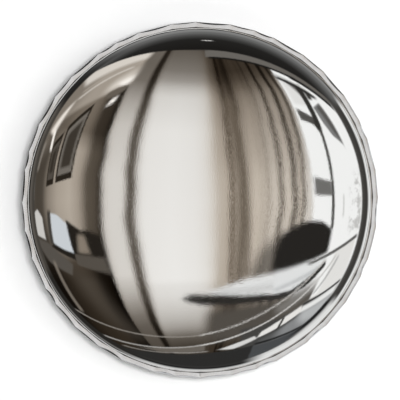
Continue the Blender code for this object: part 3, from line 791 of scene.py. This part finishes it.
def make_weld(name, start, end, node):
    """A rippled bead of weld between two points."""
    start, end = Vector(start), Vector(end)
    forward = (end - start).normalized()
    side = forward.orthogonal().normalized()
    up = forward.cross(side)
    count = round((end - start).length / (0.35 * MM))
    shape = bmesh.new()
    rings = []
    for k in range(count + 1):
        share = k / count
        taper = min(1, 5 * share, 5 * (1 - share)) ** 0.5
        ripples = 1 + 0.10 * math.sin(k * 1.25) + 0.05 * math.sin(k * 0.31)
        swell = WELD_RADIUS * (0.25 + 0.75 * taper) * ripples
        centre = start.lerp(end, share)
        ring = []
        for turn in range(16):
            angle = TAU * turn / 16
            ring.append(shape.verts.new(centre + (side * math.cos(angle) + up * math.sin(angle)) * swell))
        rings.append(ring)
    for one, other in zip(rings, rings[1:]):
        for turn in range(16):
            after = (turn + 1) % 16
            shape.faces.new((one[turn], one[after], other[after], other[turn]))
    shape.faces.new(rings[0][::-1])
    shape.faces.new(rings[-1])
    add_trim(new_piece(name, shape), node, "bracket_steel")


def make_welds():
    """Two beads hold each yoke's back to its plate, along the edges where the sheet isn't folded."""
    low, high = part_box("pan_yoke")
    for side, x in (("left", low.x), ("right", high.x)):
        make_weld(f"pan_yoke_weld_{side}", (x, high.y, -WELD_REACH), (x, high.y, WELD_REACH), "pan_yoke")
    low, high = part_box("tilt_yoke")
    for side, z in (("lower", low.z), ("upper", high.z)):
        make_weld(f"tilt_yoke_weld_{side}", (-WELD_REACH, low.y, z), (WELD_REACH, low.y, z), "tilt_yoke")


def make_bracket():
    for node in ("wall_plate", "head_plate", "backing_plate"):
        break_edges(node, 0.7 * MM)
    break_edges("rim_joint_plate", 0.3 * MM)
    for node in ("pan_yoke", "tilt_yoke"):
        break_edges(node, 0.6 * MM)
    cast_smooth("swivel_block", 0.7 * MM)
    make_pivot_hardware("pan", "Z", ("upper", "lower"))
    make_pivot_hardware("tilt", "X", ("left", "right"))
    for end in ("upper", "lower"):
        make_bush(f"pan_bush_{end}", "Z")
    for end in ("left", "right"):
        make_bush(f"tilt_bush_{end}", "X")
    for corner in ("upper_left", "upper_right", "lower_left", "lower_right"):
        make_hub_fastenings(corner)
    make_welds()


# The studio round the object


def make_wall():
    """A pale wall that the plate is fixed to. From behind it can't be seen, so that the back can."""
    bpy.ops.mesh.primitive_plane_add(size=14, location=(0, 0.4 * MM, 0), rotation=(TAU / 4, 0, 0))
    wall = bpy.context.active_object
    wall.name = "studio_wall"
    material = bpy.data.materials.new("studio_wall")
    material.use_nodes = True
    graph = Graph(material.node_tree)
    shader = material.node_tree.nodes["Principled BSDF"]
    shader.inputs["Base Color"].default_value = (0.86, 0.86, 0.86, 1)
    shader.inputs["Roughness"].default_value = 0.9
    shader.inputs["Specular IOR Level"].default_value = 0.0
    behind = graph.node("ShaderNodeNewGeometry").outputs["Backfacing"]
    clear = graph.node("ShaderNodeBsdfTransparent").outputs[0]
    both = graph.node("ShaderNodeMixShader", {0: behind, 1: shader.outputs[0], 2: clear})
    graph.put(material.node_tree.nodes["Material Output"].inputs["Surface"], both.outputs[0])
    wall.data.materials.append(material)
    wall.visible_shadow = False
    wall.visible_glossy = False


def make_floor():
    bpy.ops.mesh.primitive_plane_add(size=30, location=(0, 0, -0.95))
    floor = bpy.context.active_object
    floor.name = "studio_floor"
    material = bpy.data.materials.new("studio_floor")
    material.use_nodes = True
    shader = material.node_tree.nodes["Principled BSDF"]
    shader.inputs["Base Color"].default_value = (0.80, 0.80, 0.79, 1)
    shader.inputs["Roughness"].default_value = 0.8
    floor.data.materials.append(material)
    floor.visible_glossy = False


def make_light(name, place, size, power, target=(0, 0, 0)):
    lamp = bpy.data.lights.new(name, "AREA")
    lamp.shape = "RECTANGLE"
    lamp.size, lamp.size_y = size
    lamp.energy = power
    made = bpy.data.objects.new(name, lamp)
    bpy.context.scene.collection.objects.link(made)
    made.location = place
    made.rotation_mode = "QUATERNION"
    made.rotation_quaternion = (Vector(target) - Vector(place)).to_track_quat("-Z", "Y")
    made.visible_glossy = False
    return made


def make_lights():
    """A small light near the axis for the close shadow, a broad one for the faint shadow, and two behind."""
    make_light("near_light", (0.25, -3.4, 0.10), (0.48, 0.30), 66)
    make_light("key_light", (1.15, -3.0, 0.42), (2.5, 1.3), 45)
    make_light("back_light", (-1.6, 2.0, 1.2), (1.4, 1.4), 22)
    make_light("back_fill", (1.8, 1.6, 0.4), (1.2, 1.2), 9)


def pointing(azimuth, height):
    """The direction at an azimuth (right is positive) and height in degrees, from the mirror to its front."""
    turn, lift = math.radians(azimuth), math.radians(height)
    return Vector((math.sin(turn) * math.cos(lift), -math.cos(turn) * math.cos(lift), math.sin(lift)))


def node_group(name, inputs):
    """An empty shader group. Returns it, its graph, and its inputs; its one output is called Mask."""
    group = bpy.data.node_groups.new(name, "ShaderNodeTree")
    for label, kind in inputs.items():
        group.interface.new_socket(name=label, in_out="INPUT", socket_type=kind)
    group.interface.new_socket(name="Mask", in_out="OUTPUT", socket_type="NodeSocketFloat")
    graph = Graph(group)
    return group, graph, graph.node("NodeGroupInput").outputs


def straight_edge_group():
    """Keeps the mask on one side of a plane through the viewer, and fades it out across the plane."""
    kinds = {"Mask": "NodeSocketFloat", "Toward": "NodeSocketVector", "Normal": "NodeSocketVector",
             "Reach": "NodeSocketFloat"}
    group, graph, given = node_group("straight_edge", kinds)
    beyond = graph.dot(given["Toward"], given["Normal"])
    kept = graph.rise(beyond, graph.maths("MULTIPLY", given["Reach"], -1.0), given["Reach"])
    graph.node("NodeGroupOutput", {"Mask": graph.maths("MULTIPLY", given["Mask"], kept)})
    return group


def straight_line_group():
    """Masks a line along a plane through the viewer, from its start to its end."""
    kinds = {"Share": "NodeSocketFloat", "Toward": "NodeSocketVector", "Across": "NodeSocketVector",
             "After": "NodeSocketVector", "Before": "NodeSocketVector", "Near": "NodeSocketFloat",
             "Far": "NodeSocketFloat"}
    group, graph, given = node_group("straight_line", kinds)
    away = graph.maths("ABSOLUTE", graph.dot(given["Toward"], given["Across"]))
    mask = graph.rise(away, given["Near"], given["Far"], given["Share"], 0.0)
    for limit in ("After", "Before"):
        along = graph.dot(given["Toward"], given[limit])
        mask = graph.maths("MULTIPLY", mask, graph.rise(along, -0.02, 0.02))
    graph.node("NodeGroupOutput", {"Mask": mask})
    return group


def degrees_ramp(graph, value, stops, start=-90, end=90):
    """A ramp whose stops are (degrees, screen tone, warmth)."""
    span = end - start
    share = graph.maths("MULTIPLY_ADD", value, 1 / span, -start / span)
    return graph.ramp(share, [((place - start) / span, grey(tone, warmth)) for place, tone, warmth in stops])


class Surroundings:
    """What the mirror shows: boards with straight edges, drapes and strips of light round the camera."""

    def __init__(self, graph):
        self.graph = graph
        self.edge_group = straight_edge_group()
        self.line_group = straight_line_group()
        self.generated = graph.node("ShaderNodeTexCoord").outputs["Generated"]
        x, y, z = graph.node("ShaderNodeSeparateXYZ", {"Vector": self.generated}).outputs
        front = graph.maths("MULTIPLY", y, -1.0)
        turned_off = graph.maths("ARCCOSINE", front)
        # The camera stands near enough to widen what the dome shows, and most of all near its edge.
        squared = graph.maths("MULTIPLY", turned_off, turned_off)
        widened = graph.maths("MULTIPLY_ADD", squared, 0.0093, 1.028)
        kept = graph.maths("DIVIDE", turned_off, widened)
        narrowed = graph.maths("DIVIDE", graph.maths("SINE", kept), graph.maths("SINE", turned_off))
        x, z = graph.maths("MULTIPLY", x, narrowed), graph.maths("MULTIPLY", z, narrowed)
        front = graph.maths("COSINE", kept)
        back = graph.maths("MULTIPLY", front, -1.0)
        self.toward = graph.node("ShaderNodeCombineXYZ", {"X": x, "Y": back, "Z": z}).outputs[0]
        to_degrees = 360 / TAU
        self.azimuth = graph.maths("MULTIPLY", graph.maths("ARCTAN2", x, front), to_degrees)
        self.height = graph.maths("MULTIPLY", graph.maths("ARCSINE", z), to_degrees)
        self.off_axis = graph.maths("MULTIPLY", kept, to_degrees)
        self.clock = graph.maths("MULTIPLY", graph.maths("ARCTAN2", x, z), to_degrees)
        self.colour = None

    def lay(self, mask, finish):
        self.colour = self.graph.mix(mask, self.colour, finish)

    def edge(self, mask, one, other, inner, soft):
        """The mask on the inner side of the straight edge through two directions, falling softly to 0."""
        normal = pointing(*one).cross(pointing(*other)).normalized()
        if normal.dot(inner) < 0:
            normal.negate()
        inputs = {"Mask": mask, "Toward": self.toward, "Normal": normal, "Reach": math.radians(soft)}
        return self.graph.node("ShaderNodeGroup", inputs, node_tree=self.edge_group).outputs["Mask"]

    def board(self, corners, tone, warmth=0, soft=0.6, share=1.0):
        """A flat board whose corners are (azimuth, height), going round it."""
        inner = sum((pointing(*corner) for corner in corners), Vector())
        mask = share
        for one, other in zip(corners, corners[1:] + corners[:1]):
            mask = self.edge(mask, one, other, inner, soft)
        self.lay(mask, grey(tone, warmth))

    def rail(self, one, other, tone, warmth=0, half=0.4, soft=0.3, share=1.0):
        """A straight line of light or dark from one direction to another."""
        start, end = pointing(*one), pointing(*other)
        across = start.cross(end).normalized()
        inputs = {"Share": share, "Toward": self.toward, "Across": across, "After": across.cross(start),
                  "Before": end.cross(across), "Near": math.radians(max(half - soft, 0)),
                  "Far": math.radians(half + soft)}
        mask = self.graph.node("ShaderNodeGroup", inputs, node_tree=self.line_group).outputs["Mask"]
        self.lay(mask, grey(tone, warmth))

    def swayed(self, lean, amount, scale, seed):
        """The azimuth, leaned with height and moved a little to and fro, as hanging cloth is."""
        graph = self.graph
        inputs = {"Vector": self.generated, "Location": (seed, 0, 0), "Scale": (1, 1, 2.5)}
        wander = graph.noise(graph.node("ShaderNodeMapping", inputs).outputs[0], scale, 1.0)
        leaned = graph.maths("MULTIPLY_ADD", self.height, lean, self.azimuth)
        return graph.maths("ADD", leaned, graph.rise(wander, 0.25, 0.75, -amount, amount))

    def uprights(self):
        """Tones of the upright boards and, to the right, of the pleated drape, which fans out upwards."""
        graph = self.graph
        lean = graph.rise(self.azimuth, -14, 8, 0, 0.035)
        boards = degrees_ramp(graph, self.swayed(lean, 0.6, 1.5, 3), [
            (-90, 90, 10), (-82, 80, 12), (-77, 64, 14), (-74, 68, 14), (-71, 124, 20), (-66, 156, 22),
            (-60, 168, 22), (-56, 150, 22), (-52, 80, 17), (-48, 72, 17), (-46.6, 50, 12), (-45.4, 62, 12),
            (-44.4, 188, 12), (-42, 206, 9), (-35, 208, 9), (-33.4, 150, 14), (-32.6, 74, 14), (-30, 80, 14),
            (-29, 130, 14), (-28, 204, 8), (-25, 229, 5), (-12, 232, 4), (-2, 228, 5), (3, 220, 8),
            (6, 206, 14), (9, 178, 22),
        ])
        lean = graph.maths("MULTIPLY_ADD", self.azimuth, -0.0016, 0.048)
        pleats = degrees_ramp(graph, self.swayed(lean, 0.7, 1.7, 11), [
            (9, 178, 22), (13.2, 170, 24), (14.2, 80, 24), (15.2, 82, 24), (16.2, 150, 24), (17.6, 122, 22),
            (20, 84, 22), (21.2, 150, 22), (22.8, 182, 23), (23.5, 158, 23), (24.3, 186, 23), (27, 184, 23),
            (27.8, 160, 22), (28.6, 184, 22), (29.8, 180, 22), (30.7, 122, 20), (31.5, 186, 20),
            (34.9, 192, 20), (35.7, 76, 18), (36.6, 84, 18), (37.8, 186, 20), (40.8, 192, 20), (41.9, 66, 16),
            (43.2, 72, 16), (44.4, 182, 20), (46.1, 176, 20), (46.8, 76, 16), (47.6, 90, 16), (48.6, 200, 16),
            (50.2, 206, 12),
        ])
        self.colour = graph.mix(graph.rise(self.azimuth, 8.5, 9.5), boards, pleats)

    def shading(self):
        """The light falls off towards the top and the floor. Stops are (height, share of the light left)."""
        graph = self.graph
        zones = [
            (-100, 0.6, [(-60, 0.055), (-42, 0.055), (-30, 0.07), (-24, 0.14), (-11, 0.92), (0, 1),
                         (19, 0.92), (27, 0.40), (45, 0.40), (60, 0.40)]),
            (-45, 0.6, [(-68, 0.09), (-60, 0.13), (-55, 0.17), (-50, 0.27), (-45, 0.46), (-40, 0.68),
                        (-34, 0.90), (-32, 1), (10, 1), (32, 0.84), (42, 0.58), (52, 0.24), (60, 0.19)]),
            (-29, 2, [(-68, 0.05), (-63.5, 0.11), (-61, 0.24), (-58, 0.42), (-54, 0.58), (-49, 0.72),
                      (-43, 0.86), (-37.5, 0.92), (-36, 1), (30, 0.94), (46, 0.80), (50, 0.62), (54, 0.36),
                      (59, 0.22), (66, 0.15), (71, 0.11)]),
            (8, 6, [(-66, 0.07), (-55, 0.13), (-49, 0.24), (-42, 0.60), (-36, 0.92), (0, 1), (10, 0.95),
                    (20, 0.78), (30, 0.66), (40, 0.52), (46, 0.38), (50, 0.22), (54, 0.11), (58, 0.06)]),
        ]
        shade = None
        for start, soft, stops in zones:
            tones = [(place, 255 * share ** 0.4545, 14 * (1 - share)) for place, share in stops]
            own = degrees_ramp(graph, self.height, tones)
            if shade is None:
                shade = own
            else:
                shade = graph.mix(graph.rise(self.azimuth, start - soft, start + soft), shade, own)
        self.colour = graph.mix(1.0, self.colour, shade, "MULTIPLY")
        self.rail((16.6, 45), (23.2, -33), 92, 22, 1.3, 1.3, 0.85)
        # A soft dark patch of painted shade on the lower drape, right of the middle.
        self.board([(23, -37), (29, -20), (38, -14), (44, -25), (36, -33)], 60, 8, 4, 0.75)

    def left_side(self):
        self.board([(-83, 18), (-78, 48), (-44.7, 68), (-44.7, 49.6), (-56, 42)], 150, 20, 1.2)
        self.board([(-84, 10), (-78, 46), (-68, 52), (-66, 42), (-76, 16)], 108, 18, 4, 0.8)
        self.board([(-57, 46), (-45.5, 56.5), (-45.5, 50.2), (-52, 45.6), (-57, 43)], 222, 16, 2.5, 0.85)
        self.board([(-52, 48.5), (-45.2, 53.5), (-45.2, 50.6), (-49, 48)], 246, 10, 1.4)
        self.board([(-76, 46), (-61, 60.5), (-44.7, 66.4), (-44.7, 62), (-60, 53.5), (-71, 43)],
                   214, 14, 1.4, 0.85)
        self.rail((-70, 41), (-46, 60), 158, 18, 0.3, 0.4, 0.7)
        self.rail((-70, 38), (-50, 57), 218, 14, 0.3, 0.5, 0.5)
        self.board([(-77, 24), (-73.5, 33.5), (-71, 37), (-71.6, 33), (-74.4, 23)], 226, 16, 1.0)
        self.rail((-74.4, 25), (-73.3, 17.5), 240, 12, 0.5, 0.4)
        self.board([(-46, 49), (-52.5, 45.8), (-55.3, 43), (-54, 41), (-49, 43.4), (-46, 46.5)], 92, 16, 0.6)
        self.board([(-52.2, 38), (-50.8, 41.7), (-48.2, 43.4), (-49, 40.4)], 250, 10, 0.7)
        self.frame([(-67.9, 27.5), (-59.1, 38.4), (-59.6, 8.6), (-67.9, 6.2)], 0.9, (34, 106, 54))
        self.frame([(-72.6, 20.3), (-68.9, 25.3), (-68.9, 5.8), (-72.6, 4.7)], 0.5, (34, 74, 46))
        self.rail((-80, 0), (-80, 8), 248, 6, 0.6, 0.4)
        self.rail((-78.5, 10), (-77.5, 20), 130, 14, 0.5, 0.4, 0.7)
        self.board([(-62.5, -7.3), (-52.5, -12), (-45.7, -12), (-45.7, -30), (-62, -23), (-73, -17)],
                   32, 8, 0.6)
        self.board([(-62.5, -7.3), (-56, -11.7), (-56, -18), (-62, -18)], 32, 8, 0.5)
        self.board([(-61, -20.5), (-52, -22.6), (-45.7, -23.6), (-45.7, -30.8), (-61, -25)], 78, 12, 0.5)
        self.board([(-57.5, -13.3), (-54.2, -13.8), (-52.8, -21.6), (-58.8, -20.4)], 122, 22, 1.2)
        self.board([(-80.5, -12.5), (-74, -15), (-63.5, -24.5), (-66, -28.5), (-76, -22)], 80, 10, 0.7)
        self.rail((-71.2, -3.8), (-71.6, -16), 62, 8, 0.9, 0.4)
        self.board([(-70.3, -4.7), (-67, -5.3), (-62.4, -8.8), (-61.3, -20.3), (-66, -18.6), (-70.8, -15.6)],
                   204, -10, 0.6)
        self.board([(-80.5, -5), (-77.5, -3.2), (-75, -6), (-74.8, -14), (-79, -12)], 196, 6, 0.5)
        self.rail((-73.6, -22), (-72, -42), 118, 18, 0.7, 0.6, 0.8)
        self.board([(-66, -27), (-54, -30), (-44, -62), (-50, -62)], 84, 16, 4, 0.4)

    def frame(self, corners, width, tones):
        """A dark-edged hanging board with a paler border and a dark middle."""
        centre = (sum(c[0] for c in corners) / 4, sum(c[1] for c in corners) / 4)
        half_width = (corners[1][0] - corners[0][0]) / 2
        for inset, tone in zip((0, width, 2.1 * width), tones):
            share = 1 - inset / half_width
            moved = [(centre[0] + (a - centre[0]) * share, centre[1] + (h - centre[1]) * (0.1 + 0.9 * share))
                     for a, h in corners]
            self.board(moved, tone, 12, 0.35 if inset < 2 * width else 0.8)

    def right_side(self):
        self.board([(51.4, 56), (51.4, -70), (79, -30), (79, 30)], 239, 0, 0.5)
        self.board([(52, 51), (60.5, 44), (60.5, 37), (53, 39)], 216, 2, 1.2, 0.8)
        self.board([(54, 50), (61, 46), (60.8, 39)], 104, 3, 0.8)
        self.board([(52.5, 37.4), (60.9, 31.4), (60.9, 28.2), (52.7, 32.4)], 80, 4, 0.5)
        self.board([(57.5, 31), (61, 31), (61, 25.2)], 72, 4, 0.5)
        self.board([(62.2, 45), (65.4, 41.4), (64.6, 38.8), (62.4, 39.3)], 62, 4, 0.7)
        self.board([(62.6, 36), (67.1, 37), (71.1, 20), (66.6, 24), (63.8, 30)], 122, 0, 0.6)
        self.board([(64.4, 35.6), (66.9, 36.6), (70.8, 20.5), (68, 25)], 84, 4, 0.9)
        self.board([(52.6, 9.3), (60.8, 7.2), (61.3, 1.8), (52.6, 2)], 108, 3, 0.7)
        self.rail((60.6, 46), (61.8, -11), 72, 4, 0.7, 0.4)
        self.rail((60.6, 46), (60.9, 27), 48, 4, 1.15, 0.5)
        self.rail((67, 2), (67, -6), 205, 2, 0.4, 0.4)
        self.rail((50.6, 52), (50.6, -12), 176, 10, 0.25, 0.3, 0.8)
        self.leaves()
        self.board([(5, -47), (30, -45), (62.3, -24), (67, -38), (46, -58), (5, -66)], 76, 10, 4)
        self.board([(42, -42), (58, -33), (62, -28), (60, -38), (48, -48)], 128, 6, 2.5, 0.8)
        self.board([(30, -58), (62, -41), (75, -30), (76, -42), (62, -60), (44, -70)], 66, 3, 1)
        self.board([(62.5, -20), (75.5, -13), (75, -28.5), (62.5, -39)], 222, 3, 0.5)
        self.board([(62.5, -21), (66, -20), (65, -36), (62.5, -38)], 238, 0, 0.7)
        self.rail((62.9, -36.5), (68.5, -20.5), 150, 0, 0.4, 0.4, 0.7)
        self.board([(49, -61), (62, -46.2), (75.5, -30.5), (76, -42), (68, -57), (52, -65)], 134, -3, 1)
        self.board([(43, -60), (56, -52), (61, -60), (50, -68)], 70, 0, 3, 0.8)
        self.board([(61, -44.5), (75, -31), (76, -42), (66, -49)], 186, -3, 2.5, 0.85)
        self.board([(61, -42.4), (74, -30.4), (74, -33.4), (62, -44.8)], 228, 0, 0.6)
        self.board([(45, -65), (60, -57.6), (71.5, -47.4), (70, -58), (56, -71)], 74, -4, 1)
        self.rail((48, -63), (71.5, -47.4), 30, 0, 0.5, 0.5)
        self.rail((60.5, -41.5), (75, -28.5), 56, 2, 0.45, 0.35)
        self.board([(2, -41.6), (25, -34.2), (42, -29.6), (40.5, -40.2), (25, -42.6), (9, -42.8)],
                   217, -1, 0.8)
        self.rail((12, -41), (40, -36.5), 188, 0, 0.9, 0.9, 0.7)
        self.rail((14, -39), (38, -32), 232, -1, 0.5, 0.8, 0.7)
        self.board([(38, -30), (53, -24.5), (62.4, -21.9), (57, -32), (50, -37), (40, -40.8)], 222, -2, 0.5)
        self.rail((40, -38.5), (60, -26), 184, -4, 0.8, 0.8, 0.8)
        self.board([(-10.8, -44.6), (-4, -42.3), (12, -42.8), (14, -47.6), (0, -47.7), (-6, -46.4)],
                   40, 4, 0.6)
        self.board([(9, -42.7), (38, -40.2), (41, -42.5), (13, -47.6)], 44, 4, 0.6)
        self.board([(37, -41.2), (50, -36.8), (52, -38.6), (39, -43.8)], 50, 3, 0.5)
        self.board([(49, -37.2), (62.5, -23), (62.9, -25), (57, -33.8), (50.5, -38.9)], 50, 3, 0.4)
        self.board([(35.2, -24), (37.2, -14.8), (43, -10.5), (50, -8.2), (57, -8.2), (62, -11), (62, -20),
                    (45, -28.3), (36.5, -31)], 36, 4, 1.0)
        self.rail((53.5, -25.6), (76, -12.2), 92, 3, 0.6, 0.35)

    def leaves(self):
        """A mottled patch in the brightest part, like leaves seen through glass."""
        graph = self.graph
        mottle = graph.rise(graph.noise(self.generated, 13, 4, 0.7), 0.45, 0.62)
        mask = graph.maths("MULTIPLY", mottle, 0.75)
        limits = [(self.azimuth, 69, 72, 0, 1), (self.azimuth, 76, 77, 1, 0), (self.height, 6, 12, 1, 0),
                  (self.height, -14, -9, 0, 1)]
        for value, start, end, low, high in limits:
            mask = graph.maths("MULTIPLY", mask, graph.rise(value, start, end, low, high))
        self.lay(mask, grey(172, 3))

    def floor_lines(self):
        """Rails of light that bow across the floor, and the dark floor below them."""
        self.board([(-66, -59.5), (-30, -67.5), (5, -67.6), (5, -71), (-20, -71), (-50, -66.6)], 98, 12, 0.5)
        self.board([(-72, -58), (-40, -69), (0, -71.3), (20, -70.3), (46, -62), (60, -72), (-40, -88),
                    (-75, -72)], 44, 1, 0.5)
        self.rail((-76, -40), (0, -62.6), 140, 12, 0.28, 0.3, 0.8)
        self.rail((0, -62.6), (62, -22.6), 186, 6, 0.32, 0.3, 0.95)
        self.rail((-72, -53), (0, -67.8), 165, 6, 0.3, 0.3, 0.9)
        self.rail((0, -67.8), (67, -20.5), 196, 4, 0.34, 0.3, 0.95)
        self.rail((-66, -60), (-30, -70.2), 130, 8, 0.25, 0.3, 0.8)
        self.rail((-30, -70.2), (8, -70.8), 150, 8, 0.25, 0.3, 0.8)
        self.board([(19, -69.4), (33, -67.8), (46, -60.3), (43, -59.6), (32, -64.8)], 212, 2, 0.5)
        self.board([(45.8, -60.2), (54.2, -54), (62.4, -44), (60.2, -42), (53, -49.5), (45.6, -57)],
                   226, 4, 0.5)
        self.rail((53.8, -48), (55.2, -54), 60, 3, 0.45, 0.3)

    def ceiling(self):
        """The straight ceiling edges, dark beyond them."""
        self.board([(5, 66.2), (60, 50), (80, 24), (88, 40), (60, 75), (5, 75)], 100, 8, 0.4)
        self.rail((8, 66.2), (62, 48.6), 24, 3, 0.45, 0.4)
        self.rail((60, 50), (79, 25), 24, 3, 0.6, 0.4)
        self.rail((51, 53.2), (66, 41.1), 190, 2, 0.4, 0.4, 0.9)
        self.rail((51.2, 51.7), (67, 38.9), 42, 3, 0.65, 0.4, 0.95)
        self.rail((-12, 70.4), (8, 70.0), 62, 4, 0.5, 0.5, 0.5)

    def beyond(self):
        """Far off the camera's axis: what the dome's rolled edge picks up, all the way round to the wall. The
        wall is hidden from reflections, so past 90 degrees off the axis these rings are its painted
        reflection, with its light and shade: bright to the right and below, dark to the left and above.
        """
        graph = self.graph
        off, clock = self.off_axis, self.clock
        # The wave, one for each of the 40 hammer marks, paints the reflection of the rim's scalloped edge
        # into the right-hand ring.
        wave = graph.maths("ABSOLUTE", graph.maths("SINE", graph.maths("MULTIPLY", clock, TAU / 40)))
        strength = graph.rise(off, 84, 96, 0, -7)
        waved = graph.maths("ADD", off, graph.maths("MULTIPLY", wave, strength))
        rings = {
            "right": [(70, 239, 0), (76.6, 230, 0), (77.3, 70, 4), (79.4, 56, 4), (82, 70, 3), (88, 205, 0),
                      (98, 236, 0), (103, 226, 0), (108, 96, 0), (113, 218, 0), (124, 226, 0), (131, 92, 0),
                      (138, 205, 0), (170, 200, 0)],
            "lower_right": [(70, 140, -4), (76.4, 90, -2), (77.2, 28, 0), (78.2, 34, 0), (79.4, 205, 0),
                            (84, 222, 0), (140, 222, 0), (170, 200, 0)],
            "bottom": [(70, 44, 1), (79.0, 42, 1), (80.0, 50, 1), (81.5, 50, 1), (86, 22, 0), (93, 40, 0),
                       (103, 160, 0), (115, 206, 0), (170, 200, 0)],
            "lower_left": [(70, 44, 4), (79, 38, 4), (93, 40, 3), (104, 100, 3), (110, 128, 3), (116, 60, 2),
                           (121, 18, 2), (162, 18, 2), (170, 80, 2)],
            "left": [(70, 60, 6), (79, 62, 8), (93, 84, 10), (106, 88, 8), (112, 40, 4), (119, 20, 4),
                     (162, 20, 3), (170, 80, 3)],
            "upper_left": [(70, 130, 16), (78, 70, 8), (80, 34, 3), (94, 36, 2), (104, 38, 2), (112, 50, 1),
                           (118, 18, 0), (162, 18, 0), (170, 80, 0)],
            "top": [(70, 24, 3), (76.4, 34, 2), (78.2, 66, 1), (80, 98, 0), (94, 122, 0), (110, 134, 0),
                    (115, 110, 0), (120, 18, 0), (160, 18, 0), (168, 110, 0)],
        }
        tones = {name: degrees_ramp(graph, waved if name == "right" else off, stops, 70, 170)
                 for name, stops in rings.items()}
        above = self.edge(1.0, (-8, 70), (-72.5, 50), pointing(0, 89), 0.4)
        above = self.edge(above, (0, 70.4), (60, 54.2), pointing(0, 89), 0.4)
        self.lay(above, tones["top"])
        self.rail((4, 75.6), (16, 75.0), 225, 4, 0.12, 0.25)
        ring = tones["bottom"]
        turns = [("lower_left", -165, -150), ("left", -118, -112), ("upper_left", -60, -52),
                 ("top", -46, -16), ("right", 51, 58), ("lower_right", 124, 130), ("bottom", 156, 166)]
        for name, start, end in turns:
            ring = graph.mix(graph.rise(clock, start, end), ring, tones[name])
        sides = graph.maths("MULTIPLY", graph.rise(clock, 50, 56), graph.rise(clock, 140, 150, 1, 0))
        near = graph.maths("MULTIPLY", sides, graph.rise(off, 76.3, 77))
        self.colour = graph.mix(graph.maths("MAXIMUM", near, graph.rise(off, 78.6, 79.6)), self.colour, ring)


def make_world():
    """Plain pale light for everything but reflections, which see the boards and drapes round the camera."""
    world = bpy.data.worlds.new("studio")
    bpy.context.scene.world = world
    world.use_nodes = True
    graph = Graph(world.node_tree)
    around = Surroundings(graph)
    around.uprights()
    around.shading()
    around.left_side()
    around.right_side()
    around.floor_lines()
    around.ceiling()
    around.beyond()
    ambient, backdrop, reflected = 0.12, 0.96, 1.14
    rays = graph.node("ShaderNodeLightPath").outputs
    plain = world.node_tree.nodes["Background"]
    tone = graph.mix(rays["Is Camera Ray"], (ambient, ambient, ambient, 1), (backdrop, backdrop, backdrop, 1))
    graph.put(plain.inputs["Color"], tone)
    boards = graph.node("ShaderNodeBackground", {"Color": around.colour, "Strength": reflected})
    # Mixed as shaders, not as colours, so that only reflections take the time to work the boards out.
    inputs = {0: rays["Is Glossy Ray"], 1: plain.outputs[0], 2: boards.outputs[0]}
    seen = graph.node("ShaderNodeMixShader", inputs).outputs[0]
    graph.put(world.node_tree.nodes["World Output"].inputs["Surface"], seen)


def make_camera():
    """Square on to the mirror, with the rim filling the frame."""
    camera = bpy.data.cameras.new("camera")
    camera.lens = CAMERA_LENS
    camera.sensor_width = CAMERA_SENSOR
    made = bpy.data.objects.new("camera", camera)
    bpy.context.scene.collection.objects.link(made)
    distance = RIM_RADIUS * HALF_VIEW * CAMERA_LENS / (CAMERA_SENSOR / 2)
    made.location = (0, rim_low.y - distance, 0)
    made.rotation_euler = (TAU / 4, 0, 0)
    camera.clip_end = 100
    bpy.context.scene.camera = made


make_camera()
bpy.context.scene.view_settings.view_transform = "Standard"
finishes = {
    "mirror_face": polished_steel(),
    "hammered_rim": hammered_steel(),
    "rubber_seal": black_rubber(),
    "painted_cover": painted_cover(),
    "bracket_steel": galvanised_steel(),
    "casting": cast_aluminium(),
    "nylon_bush": black_nylon(),
    "zinc_fastener": zinc_fastener(),
}
natural_nylon_material = natural_nylon()
paint_frame_nodes()
make_dome()
make_seal()
make_rim()
make_cover()
make_grommet()
make_screws()
make_bracket()
make_wall()
make_floor()
make_lights()
make_world()
